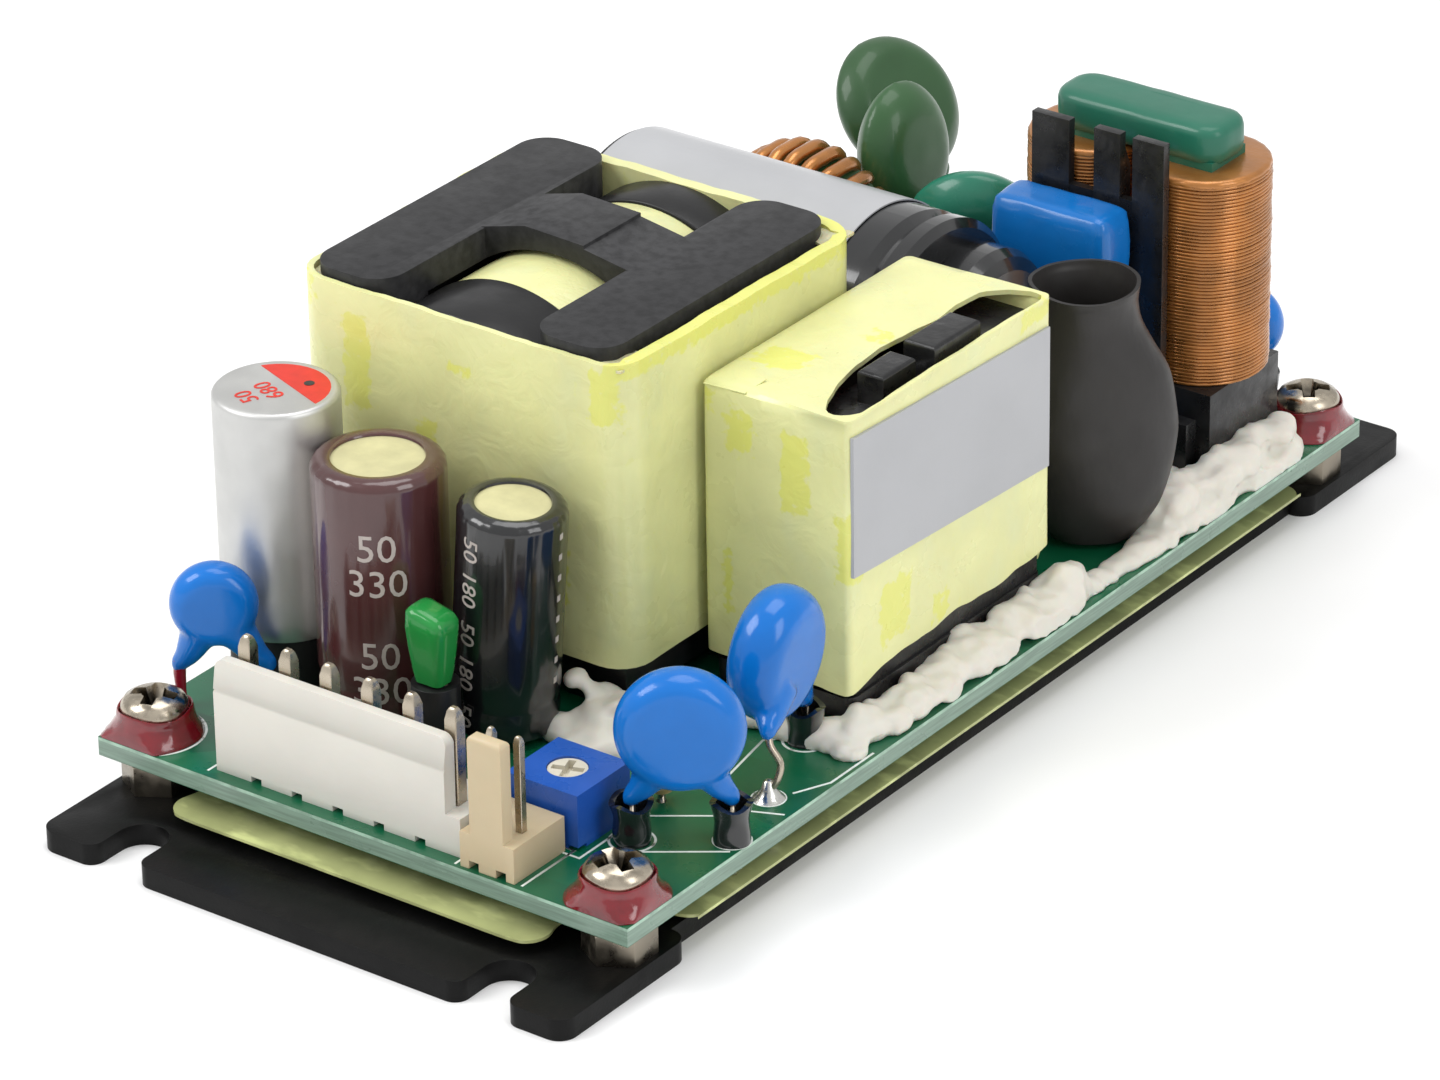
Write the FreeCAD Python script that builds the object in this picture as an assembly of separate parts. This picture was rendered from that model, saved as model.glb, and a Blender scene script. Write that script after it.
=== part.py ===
import FreeCAD, Part
import math
import os

# Open frame power supply: a populated circuit board on standoffs over a black base plate.
# Millimetres. X runs across the board, Y along it (output end at -Y), Z up from the
# underside of the base plate. Heights of the parts on the board are written from the
# board's top face, and lifted to their place at the end.

V = FreeCAD.Vector

# Base plate
PLATE_T = 1.8               # thickness of the plate
PLATE_LEN = 116.8           # over the mounting ears
EAR_W = 50.4                # width of the ears
WAIST_W = 47.0              # width between the ears
EAR_LEN = 15.4              # each ear, along Y
EAR_R = 1.5                 # outer corners
SLOT_X = 17.6               # mounting slots, from the centre line
SLOT_W = 4.2                # slot width, for M4
SLOT_DEPTH = 5.4            # from the short edge to the bottom of the slot

# Board and what it stands on
BOARD_W = 50.8
BOARD_LEN = 101.6
BOARD_T = 1.6
HOLE_INSET_X = 3.175        # board screws, from the long edges
HOLE_INSET_Y = 3.175        # and from the short edges
STANDOFF_H = 2.8
STANDOFF_AF = 5.0           # across flats
SCREW_D = 3.0
SCREW_CLEARANCE = 0.1       # screw to hole, all round
SCREW_HEAD_D = 5.4
SCREW_HEAD_H = 1.9
CONE_D = 7.0                # red insulating cup under each screw head
CONE_TOP_D = 6.1
CONE_FLOOR_T = 1.6          # under the screw head
CONE_H = 2.2                # to the rim round the screw head

# Sheets between plate and board
PAD_T = 0.9
PAD_INSET = 1.4             # from the film's edge
FILM_T = 0.25
FILM_SIDE = 0.15            # short of each long edge of the board
FILM_END = 1.6              # past each short edge of the board
FILM_W = BOARD_W - 2 * FILM_SIDE
FILM_LEN = BOARD_LEN + 2 * FILM_END
FILM_NOTCH_R = 4.9          # round each standoff

# Leads and pins
LEAD_CLEARANCE = 0.12       # lead to drilled hole, all round
LEAD_TAIL = 0.9             # below the board
WIRE_D = 0.6                # capacitor and disc wires
PIN_D = 0.8                 # wound-part pins

# Output header, six pins
OUT_PITCH = 3.96
OUT_PINS = 6
OUT_X = -2.7                # middle of the row
OUT_PIN_Y = -47.5
OUT_PIN_W = 1.15
OUT_PIN_TOP = 11.3
OUT_BASE_H = 3.3
OUT_BASE_END = 1.9          # base beyond the first and last pin
OUT_BASE_FRONT = 2.1        # base in front of the pins
OUT_BASE_BACK = 3.1         # and behind them
OUT_WALL_H = 9.5
OUT_WALL_T = 1.3

# Signal header, two pins
SIG_PITCH = 2.54
SIG_X = 12.25
SIG_PIN_Y = -47.9
SIG_PIN_W = 0.64
SIG_PIN_TOP = 11.0
SIG_W = 5.05
SIG_FRONT = -50.5
SIG_BACK = -44.3
SIG_BASE_H = 3.0
SIG_TONGUE_W = 3.1
SIG_TONGUE_T = 1.2
SIG_TONGUE_H = 11.4

# Trimmer
TRIM_X, TRIM_Y = 12.3, -40.6
TRIM_W = 6.7
TRIM_D = 6.5
TRIM_H = 4.7
ROTOR_D = 3.1
ROTOR_FLANGE_D = 4.4
ROTOR_CLEARANCE = 0.06      # running clearance, all round
ROTOR_SLOT_W = 0.6
ROTOR_SLOT_DEPTH = 0.7

# Standing capacitors: axis, diameter, heights of bottom and top
POLY_X, POLY_Y = -20.38, -33.8
POLY_D = 10.0
POLY_BOTTOM, POLY_TOP = 4.6, 24.4
SEAT_D = 9.0
BROWN_X, BROWN_Y = -10.1, -34.3
BROWN_D = 10.5
BROWN_BOTTOM, BROWN_TOP = 0.9, 21.8
BLACK_X, BLACK_Y = -0.6, -31.9
BLACK_D = 8.5
BLACK_BOTTOM, BLACK_TOP = 0.9, 20.2
BLACK_LEAN = 4.5            # degrees towards +X
SLEEVE_T = 0.15             # printed sleeve over the can
SLEEVE_TOP_SHARE = 0.68     # of the can's width left bare by the sleeve's lip, above
SLEEVE_LOW_SHARE = 0.62     # and below
CAP_LEAD_PITCH = 3.5
CAP_LEAD_DEPTH = 0.4        # into the seal of the leaning one

# Indicator
LED_X, LED_Y = -2.0, -38.3
LED_D = 3.0
LED_FLANGE_D = 3.8
LED_SPACER_H = 6.5
LED_TOP = 12.6
LED_PITCH = 1.27

# Disc capacitors: disc diameter, thickness, height of centre
DISC_T = 3.6
DISC_SLEEVE_D = 2.4
DISC_SLEEVE_H = 3.3
DISC_RUN_D = 1.1            # coating where it ends on a leg

# Transformer
TX_X0, TX_X1 = -24.8, 7.5
TX_Y0, TX_Y1 = -26.5, 4.8
TX_TAPE_BOTTOM, TX_TAPE_TOP = 4.5, 30.5
TX_TAPE_T = 0.4
TX_CORNER_R = 3.0
TX_AXIS_X = -9.3            # the drum lies along Y between the ferrite pads
TX_CORE_X0, TX_CORE_X1 = -23.7, 5.3
TX_CORE_TOP = 31.0
TX_PAD_W = 7.6              # ferrite pads at left and right
TX_PAD_R = 2.6
TX_PAD_INSET = 0.5          # pads inside the tape
TX_BAR_Y0, TX_BAR_Y1 = -13.0, -5.6
TX_BAR_RISE = 1.2           # the bar arches over the drum, its left half higher
TX_BAR_STEP = 0.3           # where the two halves meet
TX_BAR_JOINT_X = -6.4
TX_DRUM_D = 23.2
TX_DRUM_Z = 18.6
TX_BORE_CLEARANCE = 0.3     # drum to ferrite
TX_DRUM_Y0, TX_DRUM_Y1 = -18.4, -0.75   # the wound length
TX_FLANGE_T = 1.6           # flanges at its ends
TX_HOOD_T = 1.0             # hoods over the ends of the core
TX_HOOD_GAP = 0.2           # hood to pads
TX_HOOD_UNDER = 0.55         # hood to the ferrite below it
TX_FLANGE_LIP = 0.2         # flanges over the winding, all round
TX_WINDING_D = TX_DRUM_D - 2 * TX_FLANGE_LIP
TX_POST_D = 9.0             # centre post of the core
TX_TUBE_D = 11.6            # bobbin tube on the post
TX_BASE_H = 4.5
TX_PIN_SHIFT = 0.6
TX_PIN_PITCH = 5.08

# Second wound part, a taped choke
CK_X0, CK_X1 = 7.9, 21.9
CK_Y0, CK_Y1 = -17.6, 10.0
CK_TAPE_BOTTOM, CK_TAPE_TOP = 2.6, 26.6
CK_TAPE_T = 0.4
CK_CORNER_R = 1.6
CK_LABEL_T = 0.12
# Left edge of the opening in the top tape, front to rear
CK_OPEN_LEFT = [(19.3, CK_Y0 + 1.0), (17.2, -12.0), (16.6, -6.5), (17.6, -1.0),
                (17.3, 4.0), (18.6, CK_Y1 - 1.4)]

# Bulk capacitor, lying along X
BULK_Y, BULK_Z = 15.6, 15.7
BULK_D = 21.2
BULK_X0, BULK_X1 = -25.0, 7.5
BULK_PLUG_D = 15.8
BULK_PLUG_Y = 18.3          # the plug sits off centre, clear of the choke
BULK_PLUG_X1 = 11.4
LABEL_T = 0.12
LABEL_GAP = 0.08            # glue line under the label

# Line filter parts
XCAP_X0, XCAP_X1 = 4.0, 15.6
XCAP_Y0, XCAP_Y1 = 26.5, 31.5
XCAP_TOP = 24.5
TOROID_X, TOROID_Y, TOROID_Z = -16.5, 30.3, 13.4
TOROID_OD, TOROID_ID, TOROID_W = 14.6, 8.0, 5.0
TOROID_CLEARANCE = 0.1      # winding to core, all round
TOROID_WIRE_D = 1.1
TOROID_LEAD_PITCH = 7.8
CM_X, CM_Y = 12.35, 38.2    # common-mode choke, middle
CM_LEG_PITCH = 10.9
CM_COIL_X, CM_COIL_Y = 10.6, 11.0
CM_COIL_BOTTOM, CM_COIL_TOP = 8.6, 26.8
CM_CORE_TOP = 30.4
CM_CORE_LEN, CM_CORE_W, CM_CORE_T = 16.2, 5.7, 3.4
CM_CORE_EDGE = 1.1          # chamfer round the top bar
CM_LEG_W = 4.2
CM_LEG_D = 5.0
CM_TUBE_T = 0.8             # bobbin tube round each leg
CM_GAP = 0.15               # moulding to core
CM_WALL_X0, CM_WALL_X1 = 5.2, 17.9
CM_WALL_T = 0.85
CM_WALL_TOP = 30.0
CM_WALL_SLOTS = [(8.8, 11.2), (13.7, 14.9)]
CM_WALL_SLOT_Z = 21.5
CM_RIB_X0, CM_RIB_X1 = 11.4, 13.3   # rib behind the middle finger, between the coils
CM_BASE_X1 = 22.2
NTC_X, NTC_Y = 18.9, 20.2   # disc in a black sleeve
NTC_SLEEVE_T = 0.55
NTC_BODY_D, NTC_BODY_T = 10.0, 4.6
NTC_BODY_Z = 10.2
NTC_FOOT_TOP = 3.2
SLEEVE_TURN = 36.0          # degrees, the sleeve's long side from +X
# Height, half length and half width of the shrunk sleeve
SLEEVE_SECTIONS = [(0.6, 3.6, 2.6), (3.0, 5.0, 3.3), (7.0, 6.0, 3.9), (10.5, 6.15, 4.1),
                   (14.5, 5.5, 4.1), (18.0, 4.6, 4.2), (20.5, 4.5, 4.4), (22.8, 4.75, 4.6)]
SLEEVE_LEAN = 0.9           # its neck leans to -X


# AC input header
AC_PITCH = 7.92
AC_X = 0.0
AC_PIN_Y = 47.5

# Dipped discs: middle, direction of the face in plan, feet on the board, ends of the coat
DISCS = {
    "y_capacitor_left": dict(centre=(-20.6, -42.0, 9.2), along=(0.8, 0.6), diameter=7.2,
                             thick=3.0, feet=[(-23.2, -43.4), (-17.4, -39.7)],
                             tops=[(-23.0, -43.4, 5.0), (-18.0, -40.2, 5.2)]),
    "y_capacitor_front": dict(centre=(20.95, -38.05, 9.5), along=(0.81, 0.57), diameter=10.0,
                              thick=DISC_T, feet=[(17.9, -40.2), (24.0, -35.9)],
                              tops=[(17.9, -40.2, 3.4), (24.0, -35.9, 3.4)]),
    "y_capacitor_rear": dict(centre=(20.4, -25.0, 9.6), along=(-0.3, 0.95), diameter=9.6,
                             thick=DISC_T, feet=[(22.5, -29.2), (19.6, -20.4)],
                             tops=[(21.9, -28.6, 4.6), (19.6, -20.4, 3.4)]),
    "y_capacitor_far": dict(centre=(15.7, 47.7, 7.6), along=(0.95, 0.3), diameter=7.0,
                            thick=3.0, feet=[(12.4, 46.7), (17.2, 48.3)],
                            tops=[(12.9, 46.8, 4.0), (17.2, 48.3, 3.4)]),
    "surge_absorber": dict(centre=(-18.5, 46.6, 19.0), along=(0.21, 0.98), diameter=12.2,
                           thick=4.0, tilt=-38.0, feet=[(-16.4, 43.8), (-15.6, 49.0)],
                           tops=[(-16.2, 44.0, 14.9), (-15.4, 48.8, 14.9)]),
    "small_green_disc": dict(centre=(-12.9, 39.35, 18.9), along=(0.09, 0.99), diameter=10.4,
                             thick=4.2, tilt=-10.0, feet=[(-12.2, 37.0), (-12.4, 41.2)],
                             tops=[(-12.1, 37.0, 14.3), (-12.3, 41.2, 14.3)]),
    "teal_disc": dict(centre=(-4.6, 38.2, 14.5), along=(0.9, 0.43), diameter=12.0,
                      thick=5.0, tilt=18.0, feet=[(-6.6, 36.7), (-1.6, 39.1)],
                      tops=[(-6.6, 37.2, 9.6), (-2.4, 39.2, 9.6)]),
}
SLEEVED_FEET = [(17.9, -40.2), (24.0, -35.9), (19.6, -20.4), (17.2, 48.3)]

# Flat power parts under the board
UNDER_PARTS = [(-17.0, -8.0), (-9.0, -8.0), (-1.0, -8.0), (-14.0, 24.0), (-4.0, 24.0),
               (7.0, 23.0)]
UNDER_W, UNDER_D, UNDER_H = 5.2, 6.1, 1.05
UNDER_PAD_MARGIN = 0.9

# Fuse and small resistor
FUSE_X, FUSE_Y = -10.4, 45.9
FUSE_D, FUSE_TOP = 8.5, 7.9
FUSE_PITCH = 5.0
RESISTOR_X, RESISTOR_Y = 16.1, -34.1
RESISTOR_D, RESISTOR_TOP = 2.3, 7.2

STANDOFF_X = BOARD_W / 2 - HOLE_INSET_X
STANDOFF_Y = BOARD_LEN / 2 - HOLE_INSET_Y
BOARD_TOP = PLATE_T + STANDOFF_H + BOARD_T
CORNERS = [(sx * STANDOFF_X, sy * STANDOFF_Y) for sx in (-1, 1) for sy in (-1, 1)]

# Every lead that goes through the board: x, y, diameter of the round hole it needs
drilled = []


# Basic shapes

def block(x0, x1, y0, y1, z0, z1):
    return Part.makeBox(x1 - x0, y1 - y0, z1 - z0, V(x0, y0, z0))


def post(x, y, z0, z1, diameter):
    return Part.makeCylinder(diameter / 2, z1 - z0, V(x, y, z0))


def rod(start, end, diameter):
    run = V(*end) - V(*start)
    return Part.makeCylinder(diameter / 2, run.Length, V(*start), run)


def prism(points, z0, z1):
    wire = Part.makePolygon([V(x, y, z0) for x, y in points + points[:1]])
    return Part.Face(wire).extrude(V(0, 0, z1 - z0))


def rounded_block(x0, x1, y0, y1, z0, z1, radius):
    body = block(x0, x1, y0, y1, z0, z1)
    upright = [e for e in body.Edges if abs(e.tangentAt(e.FirstParameter).z) > 0.9]
    return body.makeFillet(radius, upright)


def turned(profile, x=0.0, y=0.0):
    """A solid of revolution about the upright line at x, y, from (radius, z) points."""
    points = [V(x + r, y, z) for r, z in profile]
    face = Part.Face(Part.makePolygon(points + points[:1]))
    return face.revolve(V(x, y, 0), V(0, 0, 1), 360)


def fused(shapes):
    body = shapes[0].multiFuse(shapes[1:]) if len(shapes) > 1 else shapes[0]
    return body.removeSplitter()


def group(shapes):
    return Part.makeCompound(shapes)


def edges_at(shape, axis, value):
    """The edges of a shape that lie in one plane across an axis (0, 1 or 2)."""
    found = []
    for edge in shape.Edges:
        ends = [v.Point[axis] for v in edge.Vertexes] + [edge.CenterOfMass[axis]]
        if all(abs(e - value) < 1e-4 for e in ends):
            found.append(edge)
    return found


def bent_wire(points, diameter, bend):
    """A round wire through the points, each corner rounded by a tangent arc."""
    path = [V(*p) for p in points]
    edges = []
    start = path[0]
    for before, corner, after in zip(path, path[1:], path[2:]):
        to_before = (before - corner).normalize()
        to_after = (after - corner).normalize()
        turn = math.pi - to_before.getAngle(to_after)
        limit = 0.45 * min((before - corner).Length, (after - corner).Length)
        setback = min(bend * math.tan(turn / 2), limit)
        radius = setback / math.tan(turn / 2)
        first = corner + to_before * setback
        last = corner + to_after * setback
        middle_way = (to_before + to_after).normalize()
        rise = radius / math.cos(turn / 2) - radius
        edges.append(Part.LineSegment(start, first).toShape())
        edges.append(Part.Arc(first, corner + middle_way * rise, last).toShape())
        start = last
    edges.append(Part.LineSegment(start, path[-1]).toShape())
    section = Part.Wire(Part.Circle(path[0], path[1] - path[0], diameter / 2).toShape())
    return Part.Wire(edges).makePipeShell([section], True, False)


# Leads through the board

def straight_lead(x, y, top, diameter=WIRE_D):
    drilled.append((x, y, diameter))
    return post(x, y, -BOARD_T - LEAD_TAIL, top, diameter)


def square_pin(x, y, bottom, top, width):
    """A square pin with a chamfered tip, through the board."""
    drilled.append((x, y, width * math.sqrt(2)))
    half = width / 2
    tip = width * 0.3
    body = block(x - half, x + half, y - half, y + half, bottom, top)
    return body.makeChamfer(tip, edges_at(body, 2, top))


# Base plate and what lies between it and the board

def base_plate():
    half_len, half_ear, half_waist = PLATE_LEN / 2, EAR_W / 2, WAIST_W / 2
    step = half_len - EAR_LEN
    outline = [(-half_ear, -half_len), (half_ear, -half_len), (half_ear, -step),
               (half_waist, -step), (half_waist, step), (half_ear, step),
               (half_ear, half_len), (-half_ear, half_len), (-half_ear, step),
               (-half_waist, step), (-half_waist, -step), (-half_ear, -step)]
    plate = prism(outline, 0, PLATE_T)
    ends = [e for e in plate.Edges
            if len(e.Vertexes) == 2
            and abs(e.Vertexes[0].X - e.Vertexes[1].X) < 1e-6
            and abs(e.Vertexes[0].Y - e.Vertexes[1].Y) < 1e-6
            and abs(abs(e.Vertexes[0].X) - half_ear) < 1e-6]
    plate = plate.makeFillet(EAR_R, ends)
    for sx in (-1, 1):
        for sy in (-1, 1):
            plate = plate.cut(mounting_slot(sx * SLOT_X, sy))
    for x, y in CORNERS:
        plate = plate.cut(post(x, y, 0, PLATE_T, SCREW_D))
    return plate


def mounting_slot(x, side):
    """An open slot from a short edge of the plate, with a round bottom and eased mouth."""
    edge = side * PLATE_LEN / 2
    radius = SLOT_W / 2
    bottom = edge - side * (SLOT_DEPTH - radius)
    beyond = edge + side * EAR_R
    y0, y1 = sorted((bottom, beyond))
    slot = block(x - radius, x + radius, y0, y1, 0, PLATE_T)
    slot = slot.fuse(post(x, bottom, 0, PLATE_T, SLOT_W))
    ease = EAR_R * 0.8
    for out in (-1, 1):
        corner_x = x + out * (radius + ease)
        corner_y = edge - side * ease
        xs = sorted((x + out * radius, corner_x))
        ys = sorted((corner_y, beyond))
        corner = block(xs[0], xs[1], ys[0], ys[1], 0, PLATE_T)
        slot = slot.fuse(corner.cut(post(corner_x, corner_y, 0, PLATE_T, 2 * ease)))
    return slot


def film_outline(inset, z0, z1):
    """The sheet's outline: a long rectangle, notched round the standoffs, with end tabs."""
    half_w = FILM_W / 2 - inset
    half_len = FILM_LEN / 2 - inset
    shoulder = BOARD_LEN / 2 - 6.0 - inset
    neck = STANDOFF_X - 2.5 - inset
    body = block(-half_w, half_w, -shoulder, shoulder, z0, z1)
    body = body.fuse(block(-neck, neck, -half_len + 1, half_len - 1, z0, z1))
    front = neck - 2.5
    body = body.fuse(block(-front, front, -half_len, half_len, z0, z1))
    for x, y in CORNERS:
        body = body.cut(post(x, y, z0, z1, 2 * (FILM_NOTCH_R + inset * 0.6)))
    return body.removeSplitter()


def base_gap_pad():
    return film_outline(PAD_INSET, PLATE_T, PLATE_T + PAD_T)


def insulating_film():
    bottom = PLATE_T + PAD_T
    film = film_outline(0, bottom, bottom + FILM_T)
    corners = [e for e in film.Edges
               if len(e.Vertexes) == 2
               and abs(abs(e.Vertexes[0].Z - e.Vertexes[1].Z) - FILM_T) < 1e-6
               and abs(e.Vertexes[0].X - e.Vertexes[1].X) < 1e-6
               and abs(abs(e.Vertexes[0].Y) - FILM_LEN / 2) < 1e-3]
    return film.makeFillet(0.9, corners)


def standoffs():
    """Four hexagonal nuts pressed on the plate, threaded for the board screws."""
    nuts = []
    reach = STANDOFF_AF / math.sqrt(3)
    top = PLATE_T + STANDOFF_H
    for x, y in CORNERS:
        points = [(x + reach * math.cos(math.radians(60 * i + 30)),
                   y + reach * math.sin(math.radians(60 * i + 30))) for i in range(6)]
        nut = prism(points, PLATE_T, top)
        ease = turned([(0, PLATE_T), (reach * 1.02, PLATE_T), (reach * 1.02, top - 0.45),
                       (STANDOFF_AF / 2, top), (0, top)], x, y)
        nuts.append(nut.common(ease).cut(post(x, y, PLATE_T, top, SCREW_D)))
    return group(nuts)


def board_screws():
    """Pan-head cross screws, through the board into the standoffs and the plate."""
    screws = []
    seat = BOARD_TOP + CONE_FLOOR_T
    for x, y in CORNERS:
        r = SCREW_HEAD_D / 2
        head = turned([(0, seat), (r, seat), (r, seat + SCREW_HEAD_H * 0.45),
                       (r * 0.88, seat + SCREW_HEAD_H * 0.8),
                       (r * 0.6, seat + SCREW_HEAD_H), (0, seat + SCREW_HEAD_H)], x, y)
        screw = head.fuse(post(x, y, 0.3, seat, SCREW_D))
        for turn in (0, 90):
            arm = block(-1.45, 1.45, -0.32, 0.32, 0, SCREW_HEAD_H)
            arm.rotate(V(0, 0, 0), V(0, 0, 1), 30 + turn)
            arm.translate(V(x, y, seat + SCREW_HEAD_H * 0.42))
            screw = screw.cut(arm)
        screws.append(screw)
    return group(screws)


def screw_cones():
    """Red insulating cups between the screw heads and the board."""
    cones = []
    for x, y in CORNERS:
        bore = SCREW_D / 2 + SCREW_CLEARANCE
        pocket = SCREW_HEAD_D / 2 + SCREW_CLEARANCE
        rim, neck = CONE_D / 2, CONE_TOP_D / 2
        floor = BOARD_TOP + CONE_FLOOR_T
        cones.append(turned([(bore, BOARD_TOP), (rim, BOARD_TOP), (rim, BOARD_TOP + 0.35),
                             (neck, BOARD_TOP + CONE_H), (pocket, BOARD_TOP + CONE_H),
                             (pocket, floor), (bore, floor)], x, y))
    return group(cones)


def circuit_board():
    board = block(-BOARD_W / 2, BOARD_W / 2, -BOARD_LEN / 2, BOARD_LEN / 2,
                  BOARD_TOP - BOARD_T, BOARD_TOP)
    holes = [post(x, y, BOARD_TOP - BOARD_T, BOARD_TOP, SCREW_D + 2 * SCREW_CLEARANCE)
             for x, y in CORNERS]
    for x, y, diameter in drilled:
        holes.append(post(x, y, BOARD_TOP - BOARD_T, BOARD_TOP,
                          diameter + 2 * LEAD_CLEARANCE))
    return board.cut(group(holes))


# Headers

def out_pin_places():
    first = OUT_X - OUT_PITCH * (OUT_PINS - 1) / 2
    return [first + OUT_PITCH * i for i in range(OUT_PINS)]


def output_header_pins():
    return group([square_pin(x, OUT_PIN_Y, -BOARD_T - LEAD_TAIL, OUT_PIN_TOP, OUT_PIN_W)
                  for x in out_pin_places()])


def output_header_housing():
    places = out_pin_places()
    x0, x1 = places[0] - OUT_BASE_END, places[-1] + OUT_BASE_END
    y0, y1 = OUT_PIN_Y - OUT_BASE_FRONT, OUT_PIN_Y + OUT_BASE_BACK
    base = block(x0, x1, y0, y1, 0, OUT_BASE_H)
    wall = block(x0, x1 - 1.4, y0, y0 + OUT_WALL_T, 0, OUT_WALL_H)
    wall = wall.makeFillet(0.8, [e for e in wall.Edges if e.CenterOfMass.z > OUT_WALL_H - 0.01
                                 and abs(e.tangentAt(e.FirstParameter).y) > 0.9])
    body = base.fuse(wall)
    for x in places:
        half = OUT_PIN_W / 2
        body = body.cut(block(x - half, x + half, OUT_PIN_Y - half, OUT_PIN_Y + half,
                              0, OUT_BASE_H))
    for a, b in zip(places, places[1:]):
        middle = (a + b) / 2
        body = body.cut(block(middle - 0.5, middle + 0.5, y0, y1, 0, 0.5))
    return body.removeSplitter()


def signal_header_pins():
    return group([square_pin(SIG_X + s * SIG_PITCH / 2, SIG_PIN_Y, -BOARD_T - LEAD_TAIL,
                             SIG_PIN_TOP, SIG_PIN_W) for s in (-1, 1)])


def signal_header_housing():
    base = block(SIG_X - SIG_W / 2, SIG_X + SIG_W / 2, SIG_FRONT, SIG_BACK, 0, SIG_BASE_H)
    tongue = block(SIG_X - SIG_TONGUE_W / 2, SIG_X + SIG_TONGUE_W / 2, SIG_FRONT,
                   SIG_FRONT + SIG_TONGUE_T, 0, SIG_TONGUE_H)
    tongue = tongue.makeFillet(0.5, edges_at(tongue, 2, SIG_TONGUE_H))
    body = base.fuse(tongue)
    for s in (-1, 1):
        x = SIG_X + s * SIG_PITCH / 2
        half = SIG_PIN_W / 2
        body = body.cut(block(x - half, x + half, SIG_PIN_Y - half, SIG_PIN_Y + half,
                              0, SIG_BASE_H))
        notch = SIG_X + s * SIG_PITCH / 2
        body = body.cut(block(notch - 0.45, notch + 0.45, SIG_FRONT, SIG_BACK, 0, 0.7))
    return body.removeSplitter()


# Trimmer

def trimmer_body():
    """Moulded case with a stepped round cavity that traps the rotor."""
    x0, y0 = TRIM_X - TRIM_W / 2, TRIM_Y - TRIM_D / 2
    case = block(x0, x0 + TRIM_W, y0, y0 + TRIM_D, 0, TRIM_H)
    neck = post(TRIM_X, TRIM_Y, 2.8, TRIM_H, ROTOR_D + 2 * ROTOR_CLEARANCE)
    cavity = post(TRIM_X, TRIM_Y, 1.4, 2.8, ROTOR_FLANGE_D + 2 * ROTOR_CLEARANCE)
    case = case.cut(neck.fuse(cavity))
    for x in (x0, x0 + TRIM_W - 1.0):
        case = case.cut(block(x, x + 1.0, y0, y0 + TRIM_D, 0, 0.3).cut(
            block(x, x + 1.0, y0 + 1, y0 + TRIM_D - 1, 0, 0.3)))
    for x, y in trimmer_legs():
        case = case.cut(post(x, y, 0, 0.8, WIRE_D))
    return case


def trimmer_legs():
    return [(TRIM_X - 2.54, TRIM_Y + 1.6), (TRIM_X + 2.54, TRIM_Y + 1.6),
            (TRIM_X, TRIM_Y - 2.2)]


def trimmer_rotor():
    top = TRIM_H - 0.15
    rotor = turned([(0, 1.5), (ROTOR_FLANGE_D / 2, 1.5), (ROTOR_FLANGE_D / 2, 2.7),
                    (ROTOR_D / 2, 2.7), (ROTOR_D / 2, top), (0, top)], TRIM_X, TRIM_Y)
    half = ROTOR_SLOT_W / 2
    reach = ROTOR_D / 2 * 0.82
    for sx, sy in ((reach, half), (half, reach)):
        rotor = rotor.cut(block(TRIM_X - sx, TRIM_X + sx, TRIM_Y - sy, TRIM_Y + sy,
                                top - ROTOR_SLOT_DEPTH, top))
    rotor.rotate(V(TRIM_X, TRIM_Y, 0), V(0, 0, 1), 20)
    return rotor


# Standing capacitors

def can_profile(radius, bottom, top, roll):
    """Aluminium can with a crimp groove near the bottom and a rolled top edge."""
    groove = bottom + 1.7
    return [(0, bottom), (radius - 0.5, bottom), (radius, bottom + 0.4), (radius, groove),
            (radius - 0.45, groove + 0.45), (radius, groove + 0.9),
            (radius, top - roll), (radius - roll * 0.3, top - roll * 0.3),
            (radius - roll, top), (0, top)]


def polymer_capacitor_can():
    return turned(can_profile(POLY_D / 2, POLY_BOTTOM, POLY_TOP, 0.7), POLY_X, POLY_Y)


def polymer_capacitor_seat():
    seat = post(POLY_X, POLY_Y, 0, POLY_BOTTOM, SEAT_D)
    for x, y in lead_pair(POLY_X, POLY_Y, 5.0, 0):
        seat = seat.cut(post(x, y, 0, POLY_BOTTOM, WIRE_D))
    return seat


def lead_pair(x, y, pitch, angle):
    dx = pitch / 2 * math.cos(math.radians(angle))
    dy = pitch / 2 * math.sin(math.radians(angle))
    return [(x - dx, y - dy), (x + dx, y + dy)]


def sleeved_can(x, y, diameter, bottom, top):
    """The bare can, and the plastic sleeve shrunk over it with a lip on both ends."""
    radius = diameter / 2 - SLEEVE_T
    can = turned(can_profile(radius, bottom + SLEEVE_T, top - SLEEVE_T, 0.6), x, y)
    groove = bottom + 1.9
    outside = radius + SLEEVE_T
    full = turned([(0, bottom), (radius - 0.3, bottom), (outside, bottom + 0.5),
                   (outside, groove), (radius - 0.2, groove + 0.5), (outside, groove + 1.0),
                   (outside, top - 0.6), (radius - 0.05, top), (0, top)], x, y)
    top_opening = post(x, y, top - SLEEVE_T - 0.01, top + 1, 2 * radius * SLEEVE_TOP_SHARE)
    low_opening = post(x, y, bottom - 1, bottom + SLEEVE_T + 0.01,
                       2 * radius * SLEEVE_LOW_SHARE)
    return can, largest_solid(full.cut(can).cut(top_opening).cut(low_opening))


def largest_solid(shape):
    return max(shape.Solids, key=lambda s: s.Volume)


def brown_capacitor():
    return sleeved_can(BROWN_X, BROWN_Y, BROWN_D, BROWN_BOTTOM, BROWN_TOP)


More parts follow.
